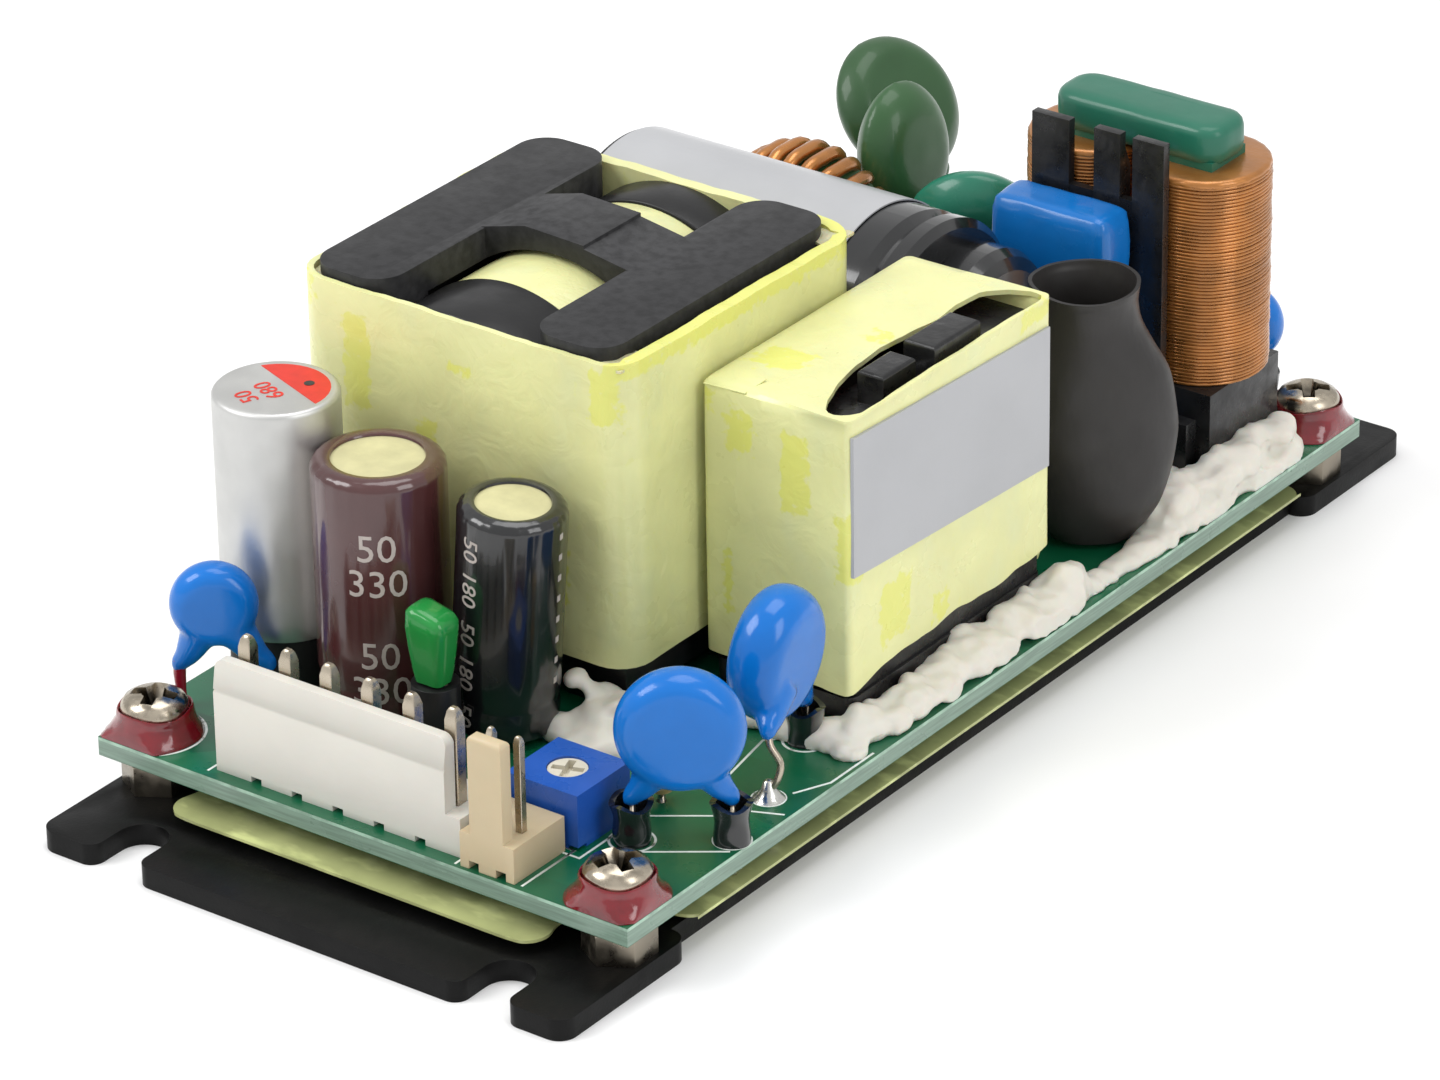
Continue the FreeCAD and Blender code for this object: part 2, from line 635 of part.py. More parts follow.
def black_capacitor():
    """It leans, and its seal is hollowed where the leads go in."""
    parts = sleeved_can(BLACK_X, BLACK_Y, BLACK_D, BLACK_BOTTOM, BLACK_TOP)
    leads = group([post(x, y, 0, BLACK_BOTTOM + CAP_LEAD_DEPTH, WIRE_D)
                   for x, y in lead_pair(BLACK_X, BLACK_Y, CAP_LEAD_PITCH, 0)])
    for part in parts:
        part.rotate(V(BLACK_X, BLACK_Y, BLACK_BOTTOM), V(0, 1, 0), BLACK_LEAN)
    return [part.cut(leads) for part in parts]


def status_led():
    r = LED_D / 2
    dome = [(r * math.cos(math.radians(a)), LED_TOP - r + r * math.sin(math.radians(a)))
            for a in (0, 22, 45, 68)]
    bottom = LED_SPACER_H
    profile = [(0, bottom), (LED_FLANGE_D / 2, bottom), (LED_FLANGE_D / 2, bottom + 1),
               (r, bottom + 1)] + dome + [(0, LED_TOP)]
    led = turned(profile, LED_X, LED_Y)
    flat = block(LED_X - 2, LED_X + 2, LED_Y + r, LED_Y + r + 1, bottom, bottom + 1)
    return led.cut(flat)


def led_spacer():
    spacer = post(LED_X, LED_Y, 0, LED_SPACER_H, LED_FLANGE_D)
    for x, y in lead_pair(LED_X, LED_Y, LED_PITCH * 1.4, 0):
        spacer = spacer.cut(post(x, y, 0, LED_SPACER_H, 0.5))
    return spacer


# Dipped discs

def dipped_disc(centre, along, diameter, thick, legs, tilt=0.0):
    """A disc standing on edge: rim fully round, and a coated run down each leg.

    along is the direction of the disc's face in plan, legs the tops of its two legs."""
    half = thick / 2
    r = diameter / 2
    points = [V(0, 0, -half), V(r - half, 0, -half), V(r - half, 0, half), V(0, 0, half)]
    rim = Part.Arc(points[1], V(r, 0, 0), points[2]).toShape()
    wire = Part.Wire([Part.LineSegment(points[0], points[1]).toShape(), rim,
                      Part.LineSegment(points[2], points[3]).toShape(),
                      Part.LineSegment(points[3], points[0]).toShape()])
    disc = Part.Face(wire).revolve(V(0, 0, 0), V(0, 0, 1), 360)
    disc.rotate(V(0, 0, 0), V(1, 0, 0), 90 + tilt)
    disc.rotate(V(0, 0, 0), V(0, 0, 1), math.degrees(math.atan2(along[1], along[0])))
    disc.translate(V(*centre))
    runs = []
    for foot, width in legs:
        start = V(*foot)
        aim = V(*centre) - start
        length = aim.Length * 0.62
        runs.append(Part.makeCone(width / 2, min(thick, diameter) * 0.42, length, start, aim))
    return fused([disc] + runs)


def leg_sleeve(x, y, height=DISC_SLEEVE_H, diameter=DISC_SLEEVE_D):
    return post(x, y, 0, height, diameter).cut(post(x, y, 0, height, WIRE_D))


def disc_part(name):
    """The dipped body, hollowed where its wires and their sleeves go in."""
    spec = DISCS[name]
    body = dipped_disc(spec["centre"], spec["along"], spec["diameter"], spec["thick"],
                       [(top, DISC_RUN_D) for top in spec["tops"]], spec.get("tilt", 0.0))
    for wire in disc_wires(name):
        body = body.cut(wire)
    for foot in spec["feet"]:
        if foot in SLEEVED_FEET:
            body = body.cut(post(*foot, 0, DISC_SLEEVE_H, DISC_SLEEVE_D))
    return largest_solid(body)


def disc_leads(name):
    """Bare wires from the coated runs down through the board."""
    for foot in DISCS[name]["feet"]:
        drilled.append((*foot, WIRE_D))
    return disc_wires(name)


def disc_wires(name):
    spec = DISCS[name]
    wires = []
    for foot, top in zip(spec["feet"], spec["tops"]):
        end = (foot[0], foot[1], -BOARD_T - LEAD_TAIL)
        if math.hypot(foot[0] - top[0], foot[1] - top[1]) < 0.05:
            wires.append(rod(end, top, WIRE_D))
        else:
            knee = (foot[0], foot[1], 0.5 * top[2])
            wires.append(bent_wire([end, knee, top], WIRE_D, 1.0))
    return wires


def lead_sleeves():
    return group([leg_sleeve(x, y) for x, y in SLEEVED_FEET])


# Transformer

def tx_inner():
    return (TX_X0 + TX_TAPE_T, TX_X1 - TX_TAPE_T, TX_Y0 + TX_TAPE_T, TX_Y1 - TX_TAPE_T)


def transformer_tape():
    """A band of tape wound round the outside of the core and winding."""
    band = rounded_block(TX_X0, TX_X1, TX_Y0, TX_Y1, TX_TAPE_BOTTOM, TX_TAPE_TOP, TX_CORNER_R)
    x0, x1, y0, y1 = tx_inner()
    hollow = rounded_block(x0, x1, y0, y1, TX_TAPE_BOTTOM, TX_TAPE_TOP,
                           TX_CORNER_R - TX_TAPE_T)
    return band.cut(hollow)


def along_y(diameter, y0, y1):
    """A cylinder on the drum's axis."""
    return Part.makeCylinder(diameter / 2, y1 - y0, V(TX_AXIS_X, y0, TX_DRUM_Z), V(0, 1, 0))


def tx_core_ends():
    """Where the ferrite's end plates start and stop, front then rear."""
    x0, x1, y0, y1 = tx_inner()
    gap = 0.2
    return ((y0 + TX_PAD_INSET, TX_DRUM_Y0 - TX_FLANGE_T - gap),
            (TX_DRUM_Y1 + TX_FLANGE_T + gap, y1 - TX_PAD_INSET))


def transformer_core():
    """Ferrite: two long side legs, end plates, a post along the drum and an arched bar."""
    bottom = TX_BASE_H + 0.5
    (front0, front1), (rear0, rear1) = tx_core_ends()
    bore = TX_DRUM_D + 2 * TX_BORE_CLEARANCE
    legs = [rounded_block(x, x + TX_PAD_W, front0, rear1, bottom, TX_CORE_TOP, TX_PAD_R)
            for x in (TX_CORE_X0, TX_CORE_X1 - TX_PAD_W)]
    bars = [tx_arched_bar(),
            block(TX_CORE_X0, TX_CORE_X1, TX_BAR_Y0, TX_BAR_Y1, bottom, TX_DRUM_Z)]
    shell = fused(legs + bars).cut(along_y(bore, front1, rear0))
    hood_half = (TX_CORE_X1 - TX_CORE_X0) / 2 - TX_PAD_W - TX_HOOD_GAP
    hood_r = TX_DRUM_D / 2 - TX_HOOD_T
    plate_top = TX_DRUM_Z + math.sqrt(hood_r ** 2 - hood_half ** 2) - TX_HOOD_UNDER
    plates = [block(TX_CORE_X0 + TX_PAD_R, TX_CORE_X1 - TX_PAD_R, y0, y1, bottom, plate_top)
              for y0, y1 in ((front0, front1), (rear0, rear1))]
    return fused([shell, along_y(TX_POST_D, front0 + 1, rear1 - 1)] + plates)


def tx_arched_bar():
    """The bar across the pads: it rises over the drum, its two halves meeting off level."""
    top = TX_CORE_TOP + TX_BAR_RISE
    lean = 4.0
    low = TX_CORE_TOP - 6.0
    left = [(TX_CORE_X0 + TX_PAD_W - 0.6, TX_CORE_TOP - 0.05), (TX_AXIS_X - lean + 1.2, top),
            (TX_BAR_JOINT_X, top - 0.2)]
    right = [(TX_BAR_JOINT_X, top - 0.2 - TX_BAR_STEP),
             (TX_CORE_X1 - TX_PAD_W + 0.6, TX_CORE_TOP - 0.05)]
    ends = [(TX_CORE_X1 - 1, TX_CORE_TOP - 0.05), (TX_CORE_X1 - 1, low),
            (TX_CORE_X0 + 1, low), (TX_CORE_X0 + 1, TX_CORE_TOP - 0.05)]
    points = [V(x, TX_BAR_Y0, z) for x, z in left + right + ends]
    face = Part.Face(Part.makePolygon(points + points[:1]))
    return face.extrude(V(0, TX_BAR_Y1 - TX_BAR_Y0, 0))


def transformer_bobbin():
    """Black moulding: a drum lying along Y with two flanges, and a hood beyond each."""
    (front0, front1), (rear0, rear1) = tx_core_ends()
    flange0, flange1 = TX_DRUM_Y0 - TX_FLANGE_T, TX_DRUM_Y1 + TX_FLANGE_T
    drum = fused([along_y(TX_TUBE_D, flange0, flange1),
                  along_y(TX_DRUM_D, flange0, TX_DRUM_Y0),
                  along_y(TX_DRUM_D, TX_DRUM_Y1, flange1)])
    window = block(TX_CORE_X0 + TX_PAD_W + TX_HOOD_GAP, TX_CORE_X1 - TX_PAD_W - TX_HOOD_GAP,
                   front0, rear1, TX_DRUM_Z, TX_CORE_TOP)
    hoods = []
    for y0, y1 in ((front0, flange0), (flange1, rear1)):
        ring = along_y(TX_DRUM_D, y0, y1).cut(along_y(TX_DRUM_D - 2 * TX_HOOD_T, y0, y1))
        hoods.append(ring.common(window))
    bore = along_y(TX_POST_D + 2 * TX_BORE_CLEARANCE, front0, rear1)
    return fused([drum] + hoods).cut(bore)


def transformer_winding():
    """Copper and tape wound on the drum between the flanges."""
    coil = along_y(TX_WINDING_D, TX_DRUM_Y0, TX_DRUM_Y1)
    return coil.cut(along_y(TX_TUBE_D, TX_DRUM_Y0, TX_DRUM_Y1))


def transformer_pin_base():
    """Low black moulding that holds the pins, with a row of ribs along both sides."""
    base = block(TX_X0 + 1.5, TX_X1 - 1.5, TX_Y0 + 1.5, TX_Y1 - 1.5, 1.2, TX_BASE_H + 0.5)
    base = base.cut(block(TX_X0 + 6, TX_X1 - 6, TX_Y0 + 6, TX_Y1 - 6, 1.2, TX_BASE_H + 0.5))
    feet = []
    for x, y in transformer_pins():
        feet.append(block(x - 1.4, x + 1.4, y - 1.6, y + 1.6, 0, 1.2))
    body = fused([base] + feet)
    for x, y in transformer_pins():
        body = body.cut(post(x, y, 0, 3.0, PIN_D))
    return body


def transformer_pins():
    step = TX_PIN_PITCH
    places = []
    for y in (TX_Y0 + 3.5, TX_Y1 - 3.5):
        for i in range(5):
            places.append((TX_AXIS_X + TX_PIN_SHIFT + step * (i - 2), y))
    return places


# Taped choke

def ck_inner():
    return (CK_X0 + CK_TAPE_T, CK_X1 - CK_TAPE_T, CK_Y0 + CK_TAPE_T, CK_Y1 - CK_TAPE_T)


def choke_tape():
    """Tape wound over the sides and folded over the top, which leaves an opening."""
    outer = rounded_block(CK_X0, CK_X1, CK_Y0, CK_Y1, CK_TAPE_BOTTOM, CK_TAPE_TOP, CK_CORNER_R)
    x0, x1, y0, y1 = ck_inner()
    hollow = rounded_block(x0, x1, y0, y1, CK_TAPE_BOTTOM, CK_TAPE_TOP - CK_TAPE_T,
                           CK_CORNER_R - CK_TAPE_T)
    return outer.cut(hollow).cut(choke_opening())


def choke_opening():
    """The gap in the top tape: straight along the right side, curved on the left."""
    x1 = CK_X1 - CK_TAPE_T - 0.2
    y0, y1 = CK_Y0 + 1.2, CK_Y1 - 1.2
    wave = [V(CK_OPEN_LEFT[i][0], CK_OPEN_LEFT[i][1], CK_TAPE_TOP - 3)
            for i in range(len(CK_OPEN_LEFT))]
    curve = Part.BSplineCurve()
    curve.interpolate(wave)
    first, last = wave[0], wave[-1]
    corner_a = V(x1, y0, CK_TAPE_TOP - 3)
    corner_b = V(x1, y1, CK_TAPE_TOP - 3)
    edges = [curve.toShape(), Part.LineSegment(last, corner_b).toShape(),
             Part.LineSegment(corner_b, corner_a).toShape(),
             Part.LineSegment(corner_a, first).toShape()]
    face = Part.Face(Part.Wire(edges))
    return face.extrude(V(0, 0, 6))


def choke_bobbin():
    """Black moulding: flanges, a drum through the core, and two wire posts on top."""
    x0, x1, y0, y1 = ck_inner()
    gap = 0.15
    top = CK_TAPE_TOP - CK_TAPE_T - 1.4
    upper = rounded_block(x0 + gap, x1 - gap, y0 + gap, y1 - gap, top - 1.4, top, 1.0)
    middle_x, middle_y = (x0 + x1) / 2, (y0 + y1) / 2
    upper = upper.cut(block(x0, middle_x + 1.4, middle_y - 6, middle_y + 6, top - 2, top + 1))
    posts = [block(18.2, 20.6, -11.3, -7.0, top, CK_TAPE_TOP + 0.9),
             block(18.0, 20.9, -4.9, 1.3, top, CK_TAPE_TOP + 0.9)]
    posts = [p.makeFillet(0.35, edges_at(p, 2, CK_TAPE_TOP + 0.9)) for p in posts]
    wall = block(x1 - 1.6, x1 - gap, y0 + 1, y1 - 1, CK_TAPE_BOTTOM, top - 1.4)
    base = rounded_block(CK_X0 + 0.6, CK_X1 - 0.3, CK_Y0 + 0.5, CK_Y1 - 0.9, 0.7,
                         CK_TAPE_BOTTOM, 1.0)
    feet = [block(x - 1.3, x + 1.3, y - 1.3, y + 1.3, 0, 0.7) for x, y in choke_pins()]
    body = fused([upper, wall, base] + posts + feet)
    for x, y in choke_pins():
        body = body.cut(post(x, y, 0, 2.2, PIN_D))
    return body


def choke_pins():
    return [(x, y) for x in (CK_X0 + 3.2, CK_X1 - 3.2) for y in (CK_Y0 + 4, CK_Y1 - 4)]


def choke_core():
    x0, x1, y0, y1 = ck_inner()
    gap = 0.2
    top = CK_TAPE_TOP - CK_TAPE_T - 1.4 - 1.4 - gap
    bottom = CK_TAPE_BOTTOM + gap
    right = x1 - 1.6 - gap
    core = rounded_block(x0 + gap, right, y0 + gap, y1 - gap, bottom, top, CK_CORNER_R)
    window_y = 5.0
    window = group([block(x0 - 1, right + 1, y0 + 4.2, (y0 + y1) / 2 - 4.2, bottom + window_y,
                          top - window_y),
                    block(x0 - 1, right + 1, (y0 + y1) / 2 + 4.2, y1 - 4.2, bottom + window_y,
                          top - window_y)])
    return core.cut(window)


def choke_winding():
    x0, x1, y0, y1 = ck_inner()
    gap = 0.2
    top = CK_TAPE_TOP - CK_TAPE_T - 2.8 - gap
    bottom = CK_TAPE_BOTTOM + gap
    middle = (y0 + y1) / 2
    right = x1 - 1.6 - gap
    turns = []
    for ya, yb in ((y0 + 4.4, middle - 4.4), (middle + 4.4, y1 - 4.4)):
        turns.append(block(x0 + gap, right, ya, yb, bottom + 5.2, top - 5.2))
    return group(turns)


def choke_label():
    return block(CK_X1, CK_X1 + CK_LABEL_T, CK_Y0 + 4.2, CK_Y1 - 0.6, 10.0, 22.5)


# Bulk capacitor

def lying(profile, y=BULK_Y):
    """A solid of revolution about a line along X at the bulk capacitor's height."""
    points = [V(x, y, BULK_Z + r) for r, x in profile]
    face = Part.Face(Part.makePolygon(points + points[:1]))
    return face.revolve(V(0, y, BULK_Z), V(1, 0, 0), 360)


def bulk_capacitor():
    r = BULK_D / 2 - SLEEVE_T
    a, b = BULK_X0 + SLEEVE_T, BULK_X1 - SLEEVE_T
    can = lying([(0, a), (r - 0.8, a), (r, a + 0.8), (r, b - 3.2), (r - 0.7, b - 2.5),
                 (r, b - 1.8), (r, b - 0.5), (r - 0.6, b), (0, b)])
    r_out = BULK_D / 2
    full = lying([(0, BULK_X0), (r_out - 0.8, BULK_X0), (r_out, BULK_X0 + 0.8),
                  (r_out, BULK_X1 - 3.4), (r_out - 0.6, BULK_X1 - 2.6),
                  (r_out, BULK_X1 - 1.8), (r_out, BULK_X1 - 0.6), (r_out - 0.7, BULK_X1),
                  (0, BULK_X1)])
    ends = [Part.makeCylinder(r * 0.72, SLEEVE_T + 1, V(x, BULK_Y, BULK_Z), V(1, 0, 0))
            for x in (BULK_X0 - 1, BULK_X1 - SLEEVE_T)]
    sleeve = full.cut(can).cut(group(ends))
    return can, largest_solid(sleeve)


def bulk_capacitor_plug():
    """Rubber end that stands out of the can, with two wires bent down to the board."""
    r = BULK_PLUG_D / 2
    a, b = BULK_X1, BULK_PLUG_X1
    return lying([(0, a), (r, a), (r, b - 1.4), (r - 0.5, b - 0.5), (r - 1.5, b), (0, b)],
                 BULK_PLUG_Y)


def bulk_leads():
    wires = []
    for y in (BULK_PLUG_Y - 3.75, BULK_PLUG_Y + 3.75):
        drilled.append((BULK_PLUG_X1 + 1.2, y, PIN_D))
        wires.append(bent_wire([(BULK_PLUG_X1, y, BULK_Z),
                                (BULK_PLUG_X1 + 1.2, y, BULK_Z),
                                (BULK_PLUG_X1 + 1.2, y, -BOARD_T - LEAD_TAIL)], PIN_D, 1.2))
    return wires


def bulk_capacitor_label():
    """A thin label round the upper half of the sleeve."""
    r = BULK_D / 2
    r += LABEL_GAP
    ring = lying([(r, BULK_X0 + 1.2), (r + LABEL_T, BULK_X0 + 1.2), (r + LABEL_T, 1.5),
                  (r, 1.5)])
    upper = block(BULK_X0, BULK_X1, BULK_Y - r - 1, BULK_Y + r + 1, BULK_Z - 2, BULK_Z + r + 1)
    return ring.common(upper)


def bridge_rectifier():
    """Flat four-legged package under the bulk capacitor."""
    body = block(-20.0, -6.0, 12.2, 20.2, 0.6, 3.6)
    return body.makeChamfer(0.5, edges_at(body, 2, 3.6))


def bridge_pins():
    return [(-18.0 + 3.4 * i, 16.2) for i in range(4)]


# Line filter

def toroid_ring(grow):
    """The core's ring, grown all round; it stands on edge, its axis along Y."""
    start = V(TOROID_X, TOROID_Y - TOROID_W / 2 - grow, TOROID_Z)
    width = TOROID_W + 2 * grow
    ring = Part.makeCylinder(TOROID_OD / 2 + grow, width, start, V(0, 1, 0))
    return ring.cut(Part.makeCylinder(TOROID_ID / 2 - grow, width, start, V(0, 1, 0)))


def toroid_core():
    return toroid_ring(0)


def toroid_winding():
    """Thick enamelled turns laid side by side, as one ring round the core."""
    d = TOROID_WIRE_D
    outer = Part.makeCylinder(TOROID_OD / 2 + d, TOROID_W + 2 * d,
                              V(TOROID_X, TOROID_Y - TOROID_W / 2 - d, TOROID_Z), V(0, 1, 0))
    inner = Part.makeCylinder(TOROID_ID / 2 - d, TOROID_W + 2 * d,
                              V(TOROID_X, TOROID_Y - TOROID_W / 2 - d, TOROID_Z), V(0, 1, 0))
    rims = [e for e in outer.Edges if e.Closed]
    ring = outer.makeFillet(d * 0.9, rims).cut(inner)
    gap = prism([(0, 0), (3.2, -12), (-3.2, -12)], 0, TOROID_W + 4 * d)
    gap.rotate(V(0, 0, 0), V(1, 0, 0), 90)
    gap.translate(V(TOROID_X, TOROID_Y + TOROID_W / 2 + 2 * d, TOROID_Z))
    ring = ring.cut(gap).cut(toroid_ring(TOROID_CLEARANCE))
    return largest_solid(ring.cut(group(toroid_wires())))


def toroid_wires():
    """The two ends of the winding, straight down to the board."""
    half = TOROID_LEAD_PITCH / 2
    ring_r = TOROID_OD / 2 + TOROID_WIRE_D
    top = TOROID_Z - math.sqrt(ring_r ** 2 - half ** 2) + TOROID_WIRE_D / 2
    return [post(TOROID_X + side * half, TOROID_Y, -BOARD_T - LEAD_TAIL, top, TOROID_WIRE_D)
            for side in (-1, 1)]


def toroid_leads():
    for side in (-1, 1):
        drilled.append((TOROID_X + side * TOROID_LEAD_PITCH / 2, TOROID_Y, TOROID_WIRE_D))
    return toroid_wires()


def x_capacitor():
    body = block(XCAP_X0, XCAP_X1, XCAP_Y0, XCAP_Y1, 0.4, XCAP_TOP)
    return body.makeFillet(0.8, [e for e in body.Edges if e.CenterOfMass.z > 0.41])


def filter_choke_core():
    """Upright ferrite ring: top and bottom bars joined by two legs through the coils."""
    half = CM_LEG_PITCH / 2 + CM_LEG_W / 2
    y0, y1 = CM_Y - CM_CORE_W / 2, CM_Y + CM_CORE_W / 2
    low_top = CM_COIL_BOTTOM - 0.6
    top = block(CM_X - CM_CORE_LEN / 2, CM_X + CM_CORE_LEN / 2, y0, y1,
                CM_CORE_TOP - CM_CORE_T, CM_CORE_TOP)
    ends = [e for e in top.Edges if abs(e.tangentAt(e.FirstParameter).z) > 0.9]
    top = top.makeChamfer(CM_CORE_EDGE, ends)
    top = top.makeChamfer(CM_CORE_EDGE * 0.6, edges_at(top, 2, CM_CORE_TOP))
    low = block(CM_X - half, CM_X + half, y0, y1, low_top - CM_CORE_T, low_top)
    legs = [filter_choke_leg(s, 0, low_top - 1, CM_CORE_TOP - 1.5) for s in (-1, 1)]
    return fused([top, low] + legs)


def filter_choke_leg(side, grow, z0, z1):
    """A column the size of one core leg, grown all round."""
    x = CM_X + side * CM_LEG_PITCH / 2
    half_w, half_d = CM_LEG_W / 2 + grow, CM_LEG_D / 2 + grow
    return block(x - half_w, x + half_w, CM_Y - half_d, CM_Y + half_d, z0, z1)


def oval(x, y, width, depth, z0, z1):
    """An upright oval column, its rounded ends along Y."""
    r = width / 2
    middle = block(x - r, x + r, y - depth / 2 + r, y + depth / 2 - r, z0, z1)
    return fused([middle, post(x, y - depth / 2 + r, z0, z1, width),
                  post(x, y + depth / 2 - r, z0, z1, width)])


def filter_choke_windings():
    coils = []
    for side in (-1, 1):
        x = CM_X + side * CM_LEG_PITCH / 2
        outer = oval(x, CM_Y, CM_COIL_X, CM_COIL_Y, CM_COIL_BOTTOM, CM_COIL_TOP)
        hole = filter_choke_leg(side, CM_TUBE_T, CM_COIL_BOTTOM, CM_COIL_TOP)
        coils.append(outer.cut(hole))
    return group(coils)


def filter_choke_bobbin():
    """Black moulding: a tube round each leg, a slotted front wall and a stepped base."""
    y0, y1 = CM_Y - CM_CORE_W / 2, CM_Y + CM_CORE_W / 2
    front = CM_Y - CM_COIL_Y / 2 - 0.2
    rear = y1 + 1.8
    base_top = CM_COIL_BOTTOM - 0.5
    half = CM_LEG_PITCH / 2 + CM_LEG_W / 2
    parts = []
    holes = []
    for side in (-1, 1):
        x = CM_X + side * CM_LEG_PITCH / 2
        parts.append(filter_choke_leg(side, CM_TUBE_T, base_top,
                                      CM_CORE_TOP - CM_CORE_T - CM_GAP))
        holes.append(filter_choke_leg(side, CM_GAP, base_top - 0.1, CM_CORE_TOP))
    flange = block(CM_X - half - 1.5, CM_BASE_X1, front, rear, base_top, CM_COIL_BOTTOM)
    wall = block(CM_WALL_X0, CM_WALL_X1, front - CM_WALL_T, front, 1.5, CM_WALL_TOP)
    for x0, x1 in CM_WALL_SLOTS:
        wall = wall.cut(block(x0, x1, front - 2, front + 1, CM_WALL_SLOT_Z, CM_WALL_TOP))
    rib = block(CM_RIB_X0, CM_RIB_X1, front, front + 1.4, base_top, CM_WALL_TOP - 0.4)
    base = block(CM_X - half - 1.5, CM_BASE_X1, front, rear, 0.8, base_top)
    base = base.cut(block(CM_X - half - CM_GAP, CM_X + half + CM_GAP, y0 - CM_GAP, y1 + CM_GAP,
                          base_top - 0.1 - CM_CORE_T - CM_GAP, base_top))
    step = block(CM_BASE_X1 - 3.6, CM_BASE_X1 - 1.4, front - CM_WALL_T - 0.5, front, 0.8,
                 base_top - 2.0)
    feet = [block(x - 1.2, x + 1.2, y - 1.2, y + 1.2, 0, 0.8) for x, y in filter_choke_pins()]
    body = fused(parts + [flange, wall, rib, base, step] + feet).cut(group(holes))
    for x, y in filter_choke_pins():
        body = body.cut(post(x, y, 0, 2.5, PIN_D))
    return body


def filter_choke_pins():
    return [(CM_X + sx * 7.0, CM_Y + sy * 4.6) for sx in (-1, 1) for sy in (-1, 1)]


def disc_sleeve():
    """Black heat-shrink over the inrush disc: round open neck above, bulging belly."""
    outer = sleeve_loft(SLEEVE_SECTIONS, 0.0)
    (z0, *first), *between, (z1, *last) = SLEEVE_SECTIONS
    through = [(z0 - 0.01, *first), *between, (z1 + 0.01, *last)]
    return largest_solid(outer.cut(sleeve_loft(through, NTC_SLEEVE_T)))


def sleeve_loft(sections, inset):
    wires = []
    for z, half_long, half_short in sections:
        lean = -SLEEVE_LEAN * max(0.0, z - NTC_BODY_Z) / (SLEEVE_SECTIONS[-1][0] - NTC_BODY_Z)
        ellipse = Part.Ellipse(V(0, 0, 0), half_long - inset, half_short - inset)
        edge = ellipse.toShape()
        edge.rotate(V(0, 0, 0), V(0, 0, 1), SLEEVE_TURN)
        edge.translate(V(NTC_X + lean, NTC_Y, z))
        wires.append(Part.Wire(edge))
    return Part.makeLoft(wires, True, False)


def sleeved_disc():
    """The dipped disc inside the sleeve, hollowed where its leads go in."""
    turn = math.radians(SLEEVE_TURN)
    body = dipped_disc((NTC_X, NTC_Y, NTC_BODY_Z), (math.cos(turn), math.sin(turn)),
                       NTC_BODY_D, NTC_BODY_T,
                       [((x, y, NTC_FOOT_TOP), DISC_RUN_D) for x, y in ntc_feet()])
    for x, y in ntc_feet():
        body = body.cut(post(x, y, 0, NTC_FOOT_TOP + 0.2, WIRE_D))
    return largest_solid(body)


def ntc_feet():
    return lead_pair(NTC_X, NTC_Y, 5.0, SLEEVE_TURN)


# Input end

def ac_header_housing():
    x0, x1 = AC_X - AC_PITCH / 2 - 1.9, AC_X + AC_PITCH / 2 + 1.9
    y0, y1 = AC_PIN_Y - OUT_BASE_BACK, AC_PIN_Y + OUT_BASE_FRONT
    base = block(x0, x1, y0, y1, 0, OUT_BASE_H)
    wall = block(x0, x1, y1 - OUT_WALL_T, y1, 0, OUT_WALL_H)
    wall = wall.makeFillet(0.8, [e for e in wall.Edges if e.CenterOfMass.z > OUT_WALL_H - 0.01
                                 and abs(e.tangentAt(e.FirstParameter).y) > 0.9])
    body = base.fuse(wall)
    half = OUT_PIN_W / 2
    for x in ac_pin_places():
        body = body.cut(block(x - half, x + half, AC_PIN_Y - half, AC_PIN_Y + half,
                              0, OUT_BASE_H))
    return body.removeSplitter()


def ac_pin_places():
    return [AC_X - AC_PITCH / 2, AC_X + AC_PITCH / 2]


def ac_header_pins():
    return group([square_pin(x, AC_PIN_Y, -BOARD_T - LEAD_TAIL, OUT_PIN_TOP, OUT_PIN_W)
                  for x in ac_pin_places()])


def line_fuse():
    r = FUSE_D / 2
    return turned([(0, 0.4), (r - 0.2, 0.4), (r, 0.6), (r, FUSE_TOP - 0.5),
                   (r - 0.4, FUSE_TOP), (0, FUSE_TOP)], FUSE_X, FUSE_Y)


def tan_resistor():
    """A small standing resistor with a cap at each end."""
    r, top = RESISTOR_D / 2, RESISTOR_TOP
    return turned([(0, 1.0), (r - 0.25, 1.0), (r, 1.6), (r, 2.4), (r - 0.2, 3.0),
                   (r - 0.2, top - 2.0), (r, top - 1.4), (r, top - 0.6), (r - 0.25, top),
                   (0, top)], RESISTOR_X, RESISTOR_Y)


# Flat power parts under the board, pressed to the film through soft pads


def power_packages():
    parts = []
    for x, y in UNDER_PARTS:
        body = block(x - UNDER_W / 2, x + UNDER_W / 2, y - UNDER_D / 2, y + UNDER_D / 2,
                     -BOARD_T - UNDER_H, -BOARD_T)
        parts.append(body)
    return group(parts)


def package_pads():
    film_top = PLATE_T + PAD_T + FILM_T - BOARD_TOP
    half_w, half_d = UNDER_W / 2 + UNDER_PAD_MARGIN, UNDER_D / 2 + UNDER_PAD_MARGIN
    return group([block(x - half_w, x + half_w, y - half_d, y + half_d, film_top,
                        -BOARD_T - UNDER_H) for x, y in UNDER_PARTS])


# Silicone glue

def bead(x0, x1, y0, y1, height):
    """A low run of glue on the board, its edges sloping in."""
    radius = min(x1 - x0, y1 - y0) * 0.4
    body = rounded_block(x0, x1, y0, y1, 0, height, radius)
    return body.makeChamfer(min(height, radius) * 0.6, edges_at(body, 2, height))


